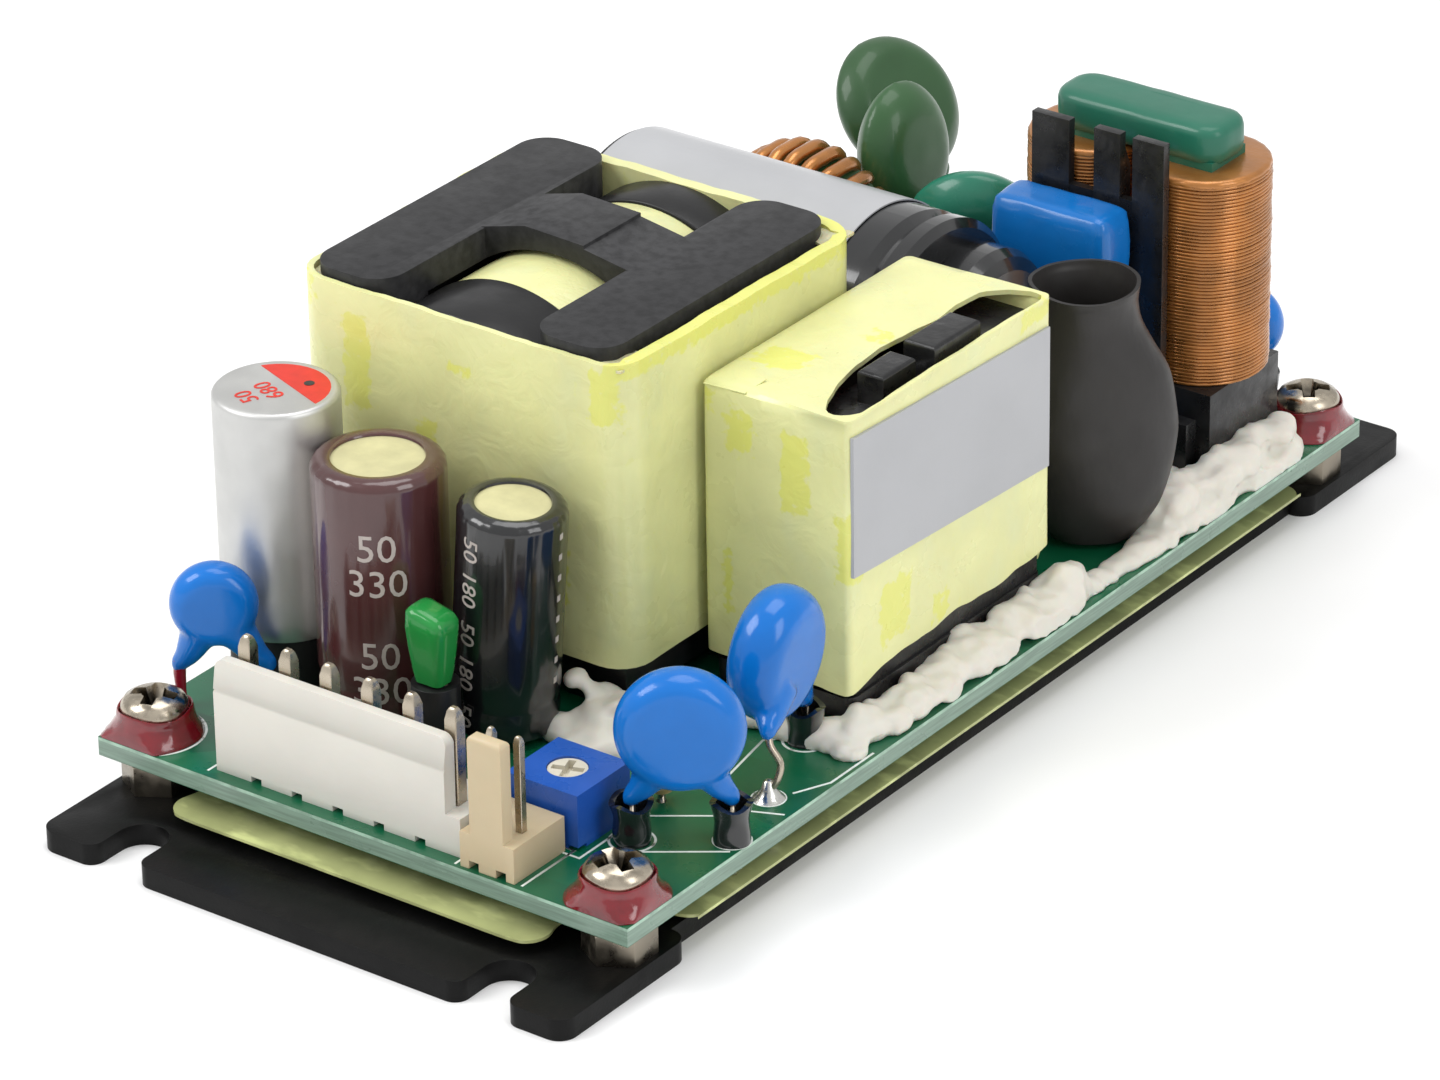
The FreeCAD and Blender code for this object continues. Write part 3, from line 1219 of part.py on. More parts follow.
def glue_beads():
    """Beside the choke, by its front corner, and between a capacitor and the transformer."""
    side_x0 = CK_X1 + 0.1
    return group([bead(side_x0, BOARD_W / 2 - 0.2, CK_Y0 - 0.6, CK_Y1 - 3.0, 2.3),
                  bead(CK_X0 + 2.2, side_x0 - 4.2, CK_Y0 - 2.4, CK_Y0 - 0.2, 1.8),
                  bead(4.0, 8.6, -29.4, -26.8, 3.0)])


# All plain wires and pins of the hand-inserted parts

def component_leads():
    wires = []
    for x, y in lead_pair(POLY_X, POLY_Y, 5.0, 0):
        wires.append(straight_lead(x, y, POLY_BOTTOM))
    for x, y in lead_pair(BROWN_X, BROWN_Y, 5.0, 0):
        wires.append(straight_lead(x, y, BROWN_BOTTOM + SLEEVE_T))
    for x, y in lead_pair(BLACK_X, BLACK_Y, CAP_LEAD_PITCH, 0):
        wires.append(straight_lead(x, y, BLACK_BOTTOM + CAP_LEAD_DEPTH))
    for x, y in lead_pair(LED_X, LED_Y, LED_PITCH * 1.4, 0):
        wires.append(straight_lead(x, y, LED_SPACER_H, 0.5))
    for x, y in trimmer_legs():
        wires.append(straight_lead(x, y, 0.8))
    for name in DISCS:
        wires += disc_leads(name)
    for x, y in transformer_pins():
        wires.append(straight_lead(x, y, 3.0, PIN_D))
    for x, y in choke_pins():
        wires.append(straight_lead(x, y, 2.2, PIN_D))
    for x, y in filter_choke_pins():
        wires.append(straight_lead(x, y, 2.5, PIN_D))
    for x, y in bridge_pins():
        wires.append(straight_lead(x, y, 0.6, PIN_D))
    for x, y in ntc_feet():
        wires.append(straight_lead(x, y, NTC_FOOT_TOP + 0.2))
    for x in (XCAP_X0 + 0.8, XCAP_X1 - 0.8):
        wires.append(straight_lead(x, (XCAP_Y0 + XCAP_Y1) / 2, 0.4, PIN_D))
    for x, y in lead_pair(FUSE_X, FUSE_Y, FUSE_PITCH, 0):
        wires.append(straight_lead(x, y, 0.4))
    wires.append(straight_lead(RESISTOR_X, RESISTOR_Y, 1.0))
    wires += bulk_leads()
    wires += toroid_leads()
    return group(wires)


def board_parts():
    """Everything on the board, at heights from its top face."""
    parts = {
        "component_leads": component_leads(),
        "output_header_pins": output_header_pins(),
        "output_header_housing": output_header_housing(),
        "signal_header_pins": signal_header_pins(),
        "signal_header_housing": signal_header_housing(),
        "trimmer_body": trimmer_body(),
        "trimmer_rotor": trimmer_rotor(),
        "polymer_capacitor_can": polymer_capacitor_can(),
        "polymer_capacitor_seat": polymer_capacitor_seat(),
        "status_led": status_led(),
        "led_spacer": led_spacer(),
        "lead_sleeves": lead_sleeves(),
        "tan_resistor": tan_resistor(),
        "transformer_tape": transformer_tape(),
        "transformer_core": transformer_core(),
        "transformer_bobbin": transformer_bobbin(),
        "transformer_winding": transformer_winding(),
        "transformer_pin_base": transformer_pin_base(),
        "choke_tape": choke_tape(),
        "choke_bobbin": choke_bobbin(),
        "choke_core": choke_core(),
        "choke_winding": choke_winding(),
        "choke_label": choke_label(),
        "bulk_capacitor_plug": bulk_capacitor_plug(),
        "bulk_capacitor_label": bulk_capacitor_label(),
        "bridge_rectifier": bridge_rectifier(),
        "toroid_core": toroid_core(),
        "toroid_winding": toroid_winding(),
        "x_capacitor": x_capacitor(),
        "filter_choke_core": filter_choke_core(),
        "filter_choke_windings": filter_choke_windings(),
        "filter_choke_bobbin": filter_choke_bobbin(),
        "inrush_disc_sleeve": disc_sleeve(),
        "inrush_disc": sleeved_disc(),
        "ac_header_housing": ac_header_housing(),
        "ac_header_pins": ac_header_pins(),
        "line_fuse": line_fuse(),
        "power_packages": power_packages(),
        "package_pads": package_pads(),
        "glue_beads": glue_beads(),
    }
    for name in DISCS:
        parts[name] = disc_part(name)
    parts["brown_capacitor_can"], parts["brown_capacitor_sleeve"] = brown_capacitor()
    parts["black_capacitor_can"], parts["black_capacitor_sleeve"] = black_capacitor()
    parts["bulk_capacitor_can"], parts["bulk_capacitor_sleeve"] = bulk_capacitor()
    return parts


def main():
    os.makedirs("parts", exist_ok=True)
    parts = board_parts()
    for shape in parts.values():
        shape.translate(V(0, 0, BOARD_TOP))
    parts["circuit_board"] = circuit_board()
    parts["base_plate"] = base_plate()
    parts["base_gap_pad"] = base_gap_pad()
    parts["insulating_film"] = insulating_film()
    parts["standoffs"] = standoffs()
    parts["board_screws"] = board_screws()
    parts["screw_cones"] = screw_cones()
    for name, shape in parts.items():
        print(name, len(shape.Solids), "valid" if shape.isValid() else "INVALID",
              round(sum(s.Volume for s in shape.Solids), 2))
        shape.exportStep("parts/" + name + ".step")


main()
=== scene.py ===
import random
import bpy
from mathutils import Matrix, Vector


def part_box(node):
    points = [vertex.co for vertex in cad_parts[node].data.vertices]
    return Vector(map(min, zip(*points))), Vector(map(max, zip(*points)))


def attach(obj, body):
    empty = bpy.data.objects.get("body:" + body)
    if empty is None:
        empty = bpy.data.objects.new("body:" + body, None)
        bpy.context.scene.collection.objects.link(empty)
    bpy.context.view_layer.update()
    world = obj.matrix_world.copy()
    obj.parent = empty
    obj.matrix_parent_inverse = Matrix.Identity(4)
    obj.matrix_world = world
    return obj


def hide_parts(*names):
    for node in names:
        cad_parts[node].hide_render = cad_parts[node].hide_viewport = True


bl_info = {
    "name": "Open Frame Power Supply",
    "version": (1, 0, 0),
    "blender": (4, 5, 0),
    "location": "View3D > Sidebar > Supply",
    "description": "Finishes and fine detail of a populated supply board on its base plate",
    "category": "Object",
}

from math import atan2, cos, degrees, hypot, pi, radians, sin

import bmesh
import bpy
from bpy.props import FloatProperty, FloatVectorProperty, IntProperty, PointerProperty
from mathutils import Matrix, Vector, noise

for start_up in ("Cube", "Light", "Camera"):
    if start_up in bpy.data.objects:
        bpy.data.objects.remove(bpy.data.objects[start_up])

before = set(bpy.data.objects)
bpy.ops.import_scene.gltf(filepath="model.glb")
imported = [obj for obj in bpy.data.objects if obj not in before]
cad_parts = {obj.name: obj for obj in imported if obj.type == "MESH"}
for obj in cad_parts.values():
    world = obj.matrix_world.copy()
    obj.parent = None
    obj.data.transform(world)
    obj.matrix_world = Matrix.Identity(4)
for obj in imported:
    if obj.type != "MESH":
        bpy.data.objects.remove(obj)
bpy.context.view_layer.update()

# Lengths are in millimetres and angles in degrees; MM turns millimetres into metres
MM = 0.001
BODY = "supply"
PHOTO_WIDTH = 1440
BOARD_HALF_WIDTH = 25.4
BOARD_HALF_LENGTH = 50.8
PATCH_FADE = 0.3
SHARP_EDGE = 30
FILTER_SLOTS = ((8.75, 11.25), (13.65, 14.95))
SHRUNK_SLEEVE_FOOT = (18.9, 20.2)
SHRUNK_SLEEVE_WAY = 36
COIL_WIDTH = 10.6
COIL_SLIP = 0.04 * MM
SCREW_HEAD_HEIGHT = 1.9
FONT_SIZE_PER_HEIGHT = 1.4
FIGURE_THICKNESS = 0.04
GLUE_SEED = 11
REAR_LEG = (22.5, -29.2)
LACQUERED_LEG = (-23.2, -43.4)


def hue(code):
    """Linear colour from a six-digit code."""
    parts = [int(code[i:i + 2], 16) / 255 for i in (0, 2, 4)]
    return tuple(c / 12.92 if c <= 0.04045 else ((c + 0.055) / 1.055) ** 2.4 for c in parts)


def colour(label, code, about):
    return FloatVectorProperty(name=label, description=about, default=hue(code), size=3,
                               min=0.0, max=1.0, subtype="COLOR")


def length(label, millimetres, about):
    return FloatProperty(name=label, description=about, default=millimetres * MM,
                         min=0.0, unit="LENGTH", precision=5)


def number(label, value, about):
    return IntProperty(name=label, description=about, default=value, min=1,
                       subtype="UNSIGNED")


class SupplyColours(bpy.types.PropertyGroup):
    """Colours of the finishes"""
    board: colour("Solder mask", "085E3D", "Green lacquer of the board")
    laminate: colour("Laminate", "7C9585", "Cut edge of the board")
    legend: colour("Legend", "E8EEE8", "White printed outlines on the board")
    plate: colour("Base plate", "0B0B0B", "Black coat of the base plate")
    film: colour("Insulating film", "CED493", "Sheet between plate and board")
    tape: colour("Tape", "DFDFA0", "Pale yellow winding tape")
    tape_bright: colour("Tape where it clings", "DCDD6A", "Brighter patches of the tape")
    ferrite: colour("Ferrite", "1F1F20", "Dark grey of the transformer core")
    moulding: colour("Black moulding", "1A1A1B", "Bobbins, spacers and seats")
    epoxy_blue: colour("Blue epoxy", "0A6CC2", "Dipped coat of the disc capacitors")
    box_blue: colour("Box blue", "106AB6", "Case of the box capacitor")
    trimmer: colour("Trimmer blue", "2257B2", "Case of the trimmer")
    rotor: colour("Rotor", "D9D3C2", "Cream rotor of the trimmer")
    brown: colour("Brown sleeve", "4C2B2B", "Sleeve of the brown capacitor")
    black: colour("Black sleeve", "161719", "Sleeve of the black capacitors")
    disc: colour("Seal", "C6C196", "Beige disc in the top of a sleeved capacitor")
    can: colour("Bare can", "C9C9C7", "Aluminium of the unsleeved capacitor")
    can_red: colour("Red mark", "CF2B1A", "Printed segment on the bare can")
    cup: colour("Red cup", "7A101C", "Insulating cups under the screws")
    nickel: colour("Nickel", "C3B8A6", "Plated screws, standoffs and pins")
    white: colour("White header", "D0CDC4", "Moulding of the output header")
    cream: colour("Cream header", "C3B291", "Moulding of the signal header")
    green_led: colour("Indicator", "25893F", "Lens of the indicator")
    copper: colour("Copper", "B5773A", "Enamelled wire")
    green_disc: colour("Green disc", "2F5230", "Coat of the surge absorbers")
    teal: colour("Teal", "2B7A62", "Coat of the teal disc and the filter core")
    shrink: colour("Heat shrink", "2B2928", "Black shrunk sleeve")
    label: colour("Label", "ABACAF", "Grey labels")
    glue: colour("Silicone", "DAD6CB", "White fixing glue")


class SupplySizes(bpy.types.PropertyGroup):
    """Sizes of the fine detail"""
    edge: length("Edge break", 0.25, "Rounding of moulded edges")
    legend_width: length("Legend line", 0.2, "Width of a printed line on the board")
    legend_rise: length("Legend thickness", 0.02, "Thickness of the printed lines")
    solder_width: length("Solder joint", 1.9, "Width of a solder joint under the board")
    filter_turns: number("Filter turns", 58, "Turns of each filter coil")
    toroid_turns: number("Toroid turns", 25, "Turns round the toroid")
    tape_thickness: length("Tape thickness", 0.4, "Wound layers of the choke's tape")
    toroid_wire: length("Toroid wire", 1.25, "Thickness of the toroid's wire")


# Places taken from the frame, in millimetres

def span(node):
    """Lowest and highest corner of a node."""
    low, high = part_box(node)
    return tuple(c / MM for c in low), tuple(c / MM for c in high)


def middle(node):
    low, high = span(node)
    return tuple((a + b) / 2 for a, b in zip(low, high))


BOARD_LOW, BOARD_HIGH = span("circuit_board")
BOARD_TOP = BOARD_HIGH[2]
BOARD_UNDER = BOARD_LOW[2]


# Meshes

def within(value, limit):
    """The value, kept from -limit to limit."""
    return max(-limit, min(limit, value))


def angles(count):
    """Even angles once round."""
    return [2 * pi * i / count for i in range(count)]


def ring_points(bm, centre, u, v, radius, steps):
    return [bm.verts.new(centre + u * (radius * cos(a)) + v * (radius * sin(a)))
            for a in angles(steps)]


def join_rings(bm, a, b):
    n = len(a)
    for i in range(n):
        bm.faces.new((a[i], a[(i + 1) % n], b[(i + 1) % n], b[i]))


def lathe(bm, profile, centre=(0, 0, 0), axis=(0, 0, 1), steps=64):
    """Turns (radius, height) points round an axis; a radius of 0 closes the end."""
    axis = Vector(axis).normalized()
    u = axis.orthogonal().normalized()
    v = axis.cross(u)
    origin = Vector(centre)
    last = None
    for r, h in profile:
        at = origin + axis * h
        if r <= 1e-6:
            ring = [bm.verts.new(at)]
        else:
            ring = ring_points(bm, at, u, v, r, steps)
        if last is not None:
            if len(ring) == 1 and len(last) > 1:
                for i in range(steps):
                    bm.faces.new((last[i], last[(i + 1) % steps], ring[0]))
            elif len(last) == 1 and len(ring) > 1:
                for i in range(steps):
                    bm.faces.new((last[0], ring[(i + 1) % steps], ring[i]))
            elif len(ring) > 1:
                join_rings(bm, last, ring)
        last = ring
    return bm


def arc(centre_r, centre_h, radius, start, end, steps=5):
    """Points of an arc in a lathe profile, angles in degrees from the outward direction."""
    points = []
    for i in range(steps + 1):
        a = radians(start + (end - start) * i / steps)
        points.append((centre_r + radius * cos(a), centre_h + radius * sin(a)))
    return points


def slab(bm, outline, z0, z1):
    """An upright prism."""
    return stack(bm, [[(x, y, z) for x, y in outline] for z in (z0, z1)])


def cuboid(bm, x0, x1, y0, y1, z0, z1, ease=0.0):
    made = bmesh.ops.create_cube(bm, size=1.0)["verts"]
    for v in made:
        v.co = Vector(((x0 + x1) / 2 + v.co.x * (x1 - x0), (y0 + y1) / 2 + v.co.y * (y1 - y0),
                       (z0 + z1) / 2 + v.co.z * (z1 - z0)))
    if ease:
        round_off(bm, list({e for v in made for e in v.link_edges}), ease, 2)
    return bm


def round_off(bm, edges, ease, steps):
    bmesh.ops.bevel(bm, geom=edges, offset=ease, segments=steps, affect="EDGES",
                    profile=0.5, clamp_overlap=True)


def smooth_path(points, per_span):
    """A soft curve through the points."""
    pts = [Vector(p) for p in points]
    pts = [pts[0] * 2 - pts[1]] + pts + [pts[-1] * 2 - pts[-2]]
    path = []
    for i in range(1, len(pts) - 2):
        p0, p1, p2, p3 = pts[i - 1:i + 3]
        for k in range(per_span):
            t = k / per_span
            path.append(0.5 * (2 * p1 + (p2 - p0) * t + (2 * p0 - 5 * p1 + 4 * p2 - p3) * t ** 2
                               + (3 * p1 - p0 - 3 * p2 + p3) * t ** 3))
    path.append(pts[-2])
    return path


def tube(bm, path, radii, steps):
    """A round tube along a path, closed at both ends."""
    path = [Vector(p) for p in path]
    if not hasattr(radii, "__len__"):
        radii = [radii] * len(path)
    aim = (path[1] - path[0]).normalized()
    u = aim.orthogonal().normalized()
    last = None
    for i, p in enumerate(path):
        ahead = path[min(i + 1, len(path) - 1)] - path[max(i - 1, 0)]
        ahead.normalize()
        u = (u - ahead * u.dot(ahead)).normalized()
        ring = ring_points(bm, p, u, ahead.cross(u), radii[i], steps)
        if last is None:
            bm.faces.new(list(reversed(ring)))
        else:
            join_rings(bm, last, ring)
        last = ring
    bm.faces.new(last)
    return bm


def shell(bm, rings):
    """A closed skin through rings of equal count, the last one joined to the first."""
    made = [[bm.verts.new(p) for p in ring] for ring in rings]
    for a, b in zip(made, made[1:] + made[:1]):
        join_rings(bm, a, b)
    return bm


def stack(bm, rings):
    """A skin through rings of equal count, closed by a flat face at each end."""
    made = [[bm.verts.new(p) for p in ring] for ring in rings]
    for a, b in zip(made, made[1:]):
        join_rings(bm, a, b)
    bm.faces.new(list(reversed(made[0])))
    bm.faces.new(made[-1])
    return bm


def walk_outline(x0, x1, y0, y1, radius, step):
    """Evenly spaced points round a rounded rectangle, each with its outward direction."""
    corner = [Vector((cos(a), sin(a))) for a in
              (radians(v) for v in (0, 15, 30, 45, 60, 75, 90))]
    points = []
    for cx, cy, quarter in ((x1 - radius, y0 + radius, 3), (x1 - radius, y1 - radius, 0),
                            (x0 + radius, y1 - radius, 1), (x0 + radius, y0 + radius, 2)):
        for d in corner:
            for _ in range(quarter):
                d = Vector((-d.y, d.x))
            points.append((Vector((cx, cy)) + d * radius, d))
    out = []
    for (p, n), (q, m) in zip(points, points[1:] + points[:1]):
        count = max(1, round((q - p).length / step))
        for k in range(count):
            out.append((p.lerp(q, k / count), n.lerp(m, k / count).normalized()))
    return out


def wave(x, y, z, size, seed=0.0):
    """Soft noise from -1 to 1 with features of about size millimetres."""
    return noise.noise(Vector((x / size + seed, y / size - seed, z / size + seed * 0.5)))


def ruffled(bm, size, depth):
    """Moves the skin in and out by noise."""
    bm.normal_update()
    for v, way in [(v, v.normal.copy()) for v in bm.verts]:
        v.co += way * (wave(*v.co, size) * depth)
    return bm


def mark(mesh, name, values):
    """Stores a value on each point, for a finish to read."""
    mesh.attributes.new(name, "FLOAT", "POINT").data.foreach_set("value", values)


def mark_boxes(mesh, name, boxes):
    """Stores on the points whether each lies inside any of the boxes, with a soft edge."""
    values = []
    for v in mesh.vertices:
        x, y, z = (c / MM for c in v.co)
        best = 0.0
        for x0, x1, y0, y1, z0, z1 in boxes:
            depth = min(x - x0, x1 - x, y - y0, y1 - y, z - z0, z1 - z)
            best = max(best, min(1.0, max(0.0, 0.5 + depth / (2 * PATCH_FADE))))
        values.append(best)
    mark(mesh, name, values)


def cut_mesh(bm, cutter, name, smooth):
    """The first solid less the second."""
    holder, tool = (new_object(n, to_mesh(b, n, smooth))
                    for n, b in ((name + "_body", bm), (name + "_tool", cutter)))
    cut = holder.modifiers.new("cut", "BOOLEAN")
    cut.object = tool
    cut.solver = "EXACT"
    mesh = plain_mesh(holder, name)
    for obj in (holder, tool):
        bpy.data.objects.remove(obj)
    shade(mesh, smooth)
    return mesh


def new_object(name, data):
    """An object linked to the scene."""
    obj = bpy.data.objects.new(name, data)
    bpy.context.scene.collection.objects.link(obj)
    return obj


def to_mesh(bm, name, smooth=40):
    """Millimetre geometry to a mesh in metres, with outward faces and smooth shading."""
    bmesh.ops.remove_doubles(bm, verts=bm.verts, dist=1e-4)
    bmesh.ops.recalc_face_normals(bm, faces=bm.faces)
    bmesh.ops.scale(bm, vec=(MM, MM, MM), verts=bm.verts)
    mesh = bpy.data.meshes.new(name)
    bm.to_mesh(mesh)
    bm.free()
    shade(mesh, smooth)
    return mesh


def shade(mesh, angle):
    mesh.polygons.foreach_set("use_smooth", [True] * len(mesh.polygons))
    mesh.set_sharp_from_angle(angle=radians(angle))


def add_piece(name, shape, finish_name, slot, *nodes, smooth=40):
    """A piece that rides on the supply, in place of the CAD nodes named."""
    mesh = shape if isinstance(shape, bpy.types.Mesh) else to_mesh(shape, name, smooth)
    obj = new_object(name, mesh)
    mesh.materials.clear()
    mesh.materials.append(finish(finish_name))
    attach(obj, BODY)
    if nodes:
        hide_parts(*nodes)


def dress(node, finish_name):
    """Gives a CAD node its finish."""
    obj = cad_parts[node]
    material = finish(finish_name)
    if not obj.material_slots:
        obj.data.materials.append(material)
    for s in obj.material_slots:
        s.material = material


def node_copy(node):
    """A merged copy of a CAD node's mesh, in millimetres, ready to be worked on."""
    bm = bmesh.new()
    bm.from_mesh(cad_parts[node].data)
    bmesh.ops.scale(bm, vec=(1 / MM,) * 3, verts=bm.verts)
    bmesh.ops.remove_doubles(bm, verts=bm.verts, dist=1e-3)
    return bm


def softened(node, ease, steps=2):
    """A copy of a node whose sharp edges are rounded."""
    bm = node_copy(node)
    bmesh.ops.dissolve_limit(bm, angle_limit=radians(0.5), verts=bm.verts, edges=bm.edges)
    sharp = [e for e in bm.edges if len(e.link_faces) == 2
             and e.calc_face_angle(0) > radians(SHARP_EDGE)]
    round_off(bm, sharp, ease, steps)
    return bm


def plain_mesh(obj, name):
    """The evaluated object as a mesh of its own, without its modifiers."""
    graph = bpy.context.evaluated_depsgraph_get()
    mesh = bpy.data.meshes.new_from_object(obj.evaluated_get(graph), depsgraph=graph)
    mesh.name = name
    obj.modifiers.clear()
    return mesh


def melted(bm, name, voxel, passes):
    """Overlapping solids drawn together into one soft skin."""
    obj = new_object(name + "_raw", to_mesh(bm, name + "_raw"))
    remesh = obj.modifiers.new("skin", "REMESH")
    remesh.mode = "VOXEL"
    remesh.voxel_size = voxel * MM
    soften = obj.modifiers.new("soften", "SMOOTH")
    soften.factor = 0.5
    soften.iterations = passes
    out = plain_mesh(obj, name)
    bpy.data.objects.remove(obj)
    shade(out, 180)
    return out


# Finishes

class NodeTree:
    """Adds nodes to a tree, with their inputs linked or set."""

    def node(self, kind, inputs=(), **settings):
        made = self.tree.nodes.new(kind)
        for key, value in settings.items():
            setattr(made, key, value)
        for target, source in dict(inputs).items():
            socket = made.inputs[target]
            if isinstance(source, bpy.types.Node):
                source = source.outputs[0]
            if isinstance(source, bpy.types.NodeSocket):
                self.tree.links.new(source, socket)
            else:
                socket.default_value = source
        return made

    def math(self, kind, a, b=0.0):
        return self.node("ShaderNodeMath", {0: a, 1: b}, operation=kind).outputs[0]


class Finish(NodeTree):
    """A material under construction: a principled shader fed by object-space patterns."""

    def __init__(self, name, base, rough, **sockets):
        self.material = bpy.data.materials.new(name)
        self.material.use_nodes = True
        self.tree = self.material.node_tree
        self.shader = self.tree.nodes["Principled BSDF"]
        self.base = Vector(base)
        self.set("Base Color", (*self.base, 1.0))
        self.set("Roughness", rough)
        for key, value in sockets.items():
            self.set(key.replace("_", " "), value)
        self.place = self.node("ShaderNodeTexCoord").outputs["Object"]

    def set(self, socket, value):
        self.shader.inputs[socket].default_value = value

    def feed(self, socket, source):
        self.tree.links.new(source, self.shader.inputs[socket])
        return self

    def stretched(self, scale, turn=(0, 0, 0)):
        return self.node("ShaderNodeMapping", {"Vector": self.place, "Scale": scale,
                                               "Rotation": turn}).outputs[0]

    def stored(self, name):
        """A value that a mesh carries on its points."""
        return self.node("ShaderNodeAttribute", attribute_name=name).outputs["Fac"]

    def noise(self, size, detail=3.0, rough=0.5, at=None, warp=0.0):
        """Noise whose features are about size millimetres across."""
        return self.node("ShaderNodeTexNoise", {
            "Vector": at or self.place, "Scale": 1 / (size * MM), "Detail": detail,
            "Roughness": rough, "Distortion": warp}).outputs["Fac"]

    def ramp(self, factor, low, high, bottom=0.0, top=1.0):
        """Stretches the part of a pattern between low and high over bottom to top."""
        return self.node("ShaderNodeMapRange", {
            "Value": factor, "From Min": low, "From Max": high, "To Min": bottom,
            "To Max": top}, clamp=True).outputs["Result"]

    def mix(self, factor, a, b):
        sides = [side if isinstance(side, bpy.types.NodeSocket) else (*side[:3], 1.0)
                 for side in (a, b)]
        return self.node("ShaderNodeMix", {0: factor, 6: sides[0], 7: sides[1]},
                         data_type="RGBA").outputs[2]

    def paint(self, source):
        return self.feed("Base Color", source)

    def mottle(self, size, amount, detail=4.0):
        """Uneven colour: darker and lighter than the base by amount."""
        light = [min(1.0, c * (1 + amount)) for c in self.base]
        return self.paint(self.mix(self.ramp(self.noise(size, detail), 0.3, 0.7),
                                   self.base * (1 - amount), light))

    def roughen(self, size, low, high):
        return self.feed("Roughness", self.ramp(self.noise(size, 4.0), 0.35, 0.65, low, high))

    def bump(self, height, depth, strength=1.0):
        """Relief of depth millimetres."""
        made = self.node("ShaderNodeBump", {"Strength": strength, "Distance": depth * MM,
                                            "Height": height})
        return self.feed("Normal", made.outputs["Normal"])

    def grain(self, size, depth, detail=4.0, strength=1.0):
        return self.bump(self.noise(size, detail), depth, strength)


def colours():
    return bpy.context.scene.supply_colours


def sizes():
    return bpy.context.scene.supply_sizes


def coat(name, base, rough, mottle, grain=None, **sockets):
    """Uneven colour and, where given, a grain."""
    f = Finish(name, base, rough, **sockets).mottle(*mottle)
    return f.grain(*grain) if grain else f


def plastic(name, base, rough, size, amount, depth, **sockets):
    """Moulded plastic: faint mottle, uneven gloss and a fine grain."""
    f = Finish(name, base, rough, **sockets)
    f.mottle(size * 8, amount)
    f.roughen(size * 6, max(0.02, rough - 0.06), rough + 0.08)
    return f.grain(size, depth)


def plate_black():
    f = Finish("plate_black", colours().plate, 0.42, Specular_IOR_Level=0.15)
    worn = f.ramp(f.noise(9, 5), 0.45, 0.75)
    f.paint(f.mix(worn, f.base, f.base * 1.8))
    f.roughen(3, 0.3, 0.48)
    return f.grain(0.25, 0.012)


def board_green():
    """Solder mask over copper: tracks and fills show as a paler, slightly raised pattern."""
    f = Finish("board_green", colours().board, 0.3, Coat_Weight=0.25, Coat_Roughness=0.2)
    base = f.base
    fills = f.node("ShaderNodeTexVoronoi", {"Vector": f.stretched((1, 1, 0)), "Scale": 130,
                                            "Randomness": 0.75},
                   feature="F1", distance="CHEBYCHEV")
    copper = f.ramp(fills.outputs["Color"], 0.42, 0.46)
    track = f.mix(copper, base * 0.82, base * 1.22)
    tint = f.ramp(f.noise(14, 3), 0.35, 0.65)
    masked = f.mix(tint, track, base)
    height = f.node("ShaderNodeSeparateXYZ", {0: f.place}).outputs["Z"]
    low = (BOARD_UNDER + 0.03) * MM
    high = (BOARD_TOP - 0.03) * MM
    above = f.math("GREATER_THAN", height, high)
    below = f.math("LESS_THAN", height, low)
    face = f.math("MAXIMUM", above, below)
    fibres = f.ramp(f.noise(0.6, 4, at=f.stretched((0.15, 0.15, 3))), 0.35, 0.65)
    laminate = Vector(colours().laminate)
    edge = f.mix(fibres, laminate * 0.8, laminate * 1.1)
    # Painted highlight: paler laminate in broken patches along the top 0.3 mm of the cut edge
    lip = f.math("GREATER_THAN", height, (BOARD_TOP - 0.3) * MM)
    lip_highlight = f.math("MULTIPLY", lip, f.ramp(f.noise(1.6, 4), 0.35, 0.6, 0.15, 0.9))
    rim = f.mix(lip_highlight, edge, laminate * 2.1)
    f.paint(f.mix(face, rim, masked))
    f.roughen(4, 0.25, 0.4)
    return f.bump(copper, 0.02, 0.5)


def film_clear():
    """Clear yellow-green sheet: cloudy, with pale streaks over the black pad."""
    f = Finish("film_clear", colours().film, 0.2, Alpha=0.8, Coat_Weight=0.4,
               Coat_Roughness=0.12)
    base = f.base
    cloud = f.ramp(f.noise(6, 4, at=f.stretched((1, 1, 0.2))), 0.32, 0.68)
    streak = f.ramp(f.noise(2.2, 3, at=f.stretched((0.5, 1, 0.2), (0, 0, 0.6))), 0.5, 0.68)
    toned = f.mix(cloud, base * 0.7, base * 1.0)
    f.paint(f.mix(streak, toned, base * 1.35))
    return f.grain(9, 0.1, 2.0)


def tape_yellow():
    """Thin polyester tape: brighter patches where it clings, creases and soft dents."""
    f = Finish("tape_yellow", colours().tape, 0.3, Coat_Weight=0.3, Coat_Roughness=0.2,
               Specular_IOR_Level=0.45, Subsurface_Weight=0.05, Subsurface_Scale=0.001)
    base = f.base
    tone = f.ramp(f.noise(8, 4), 0.35, 0.65)
    soft = f.mix(tone, base * 0.93, base * 1.05)
    cool = f.mix(f.ramp(f.noise(5, 3, at=f.stretched((1, 1, 0.6))), 0.55, 0.75), soft,
                 base.lerp(Vector(hue("CFD4A6")), 0.6))
    ragged = f.math("ADD", f.stored("bright"),
                    f.ramp(f.noise(0.8, 3), 0.3, 0.7, -0.45, 0.45))
    patch = f.ramp(ragged, 0.38, 0.72, 0.0, 0.8)
    f.paint(f.mix(patch, cool, colours().tape_bright))
    f.roughen(5, 0.24, 0.4)
    creases = f.noise(3.0, 3, warp=1.2)
    fine = f.noise(0.9, 3, at=f.stretched((1, 1, 0.4)))
    relief = f.math("ADD", creases, f.math("MULTIPLY", fine, 0.15))
    return f.bump(relief, 0.25, 0.5)


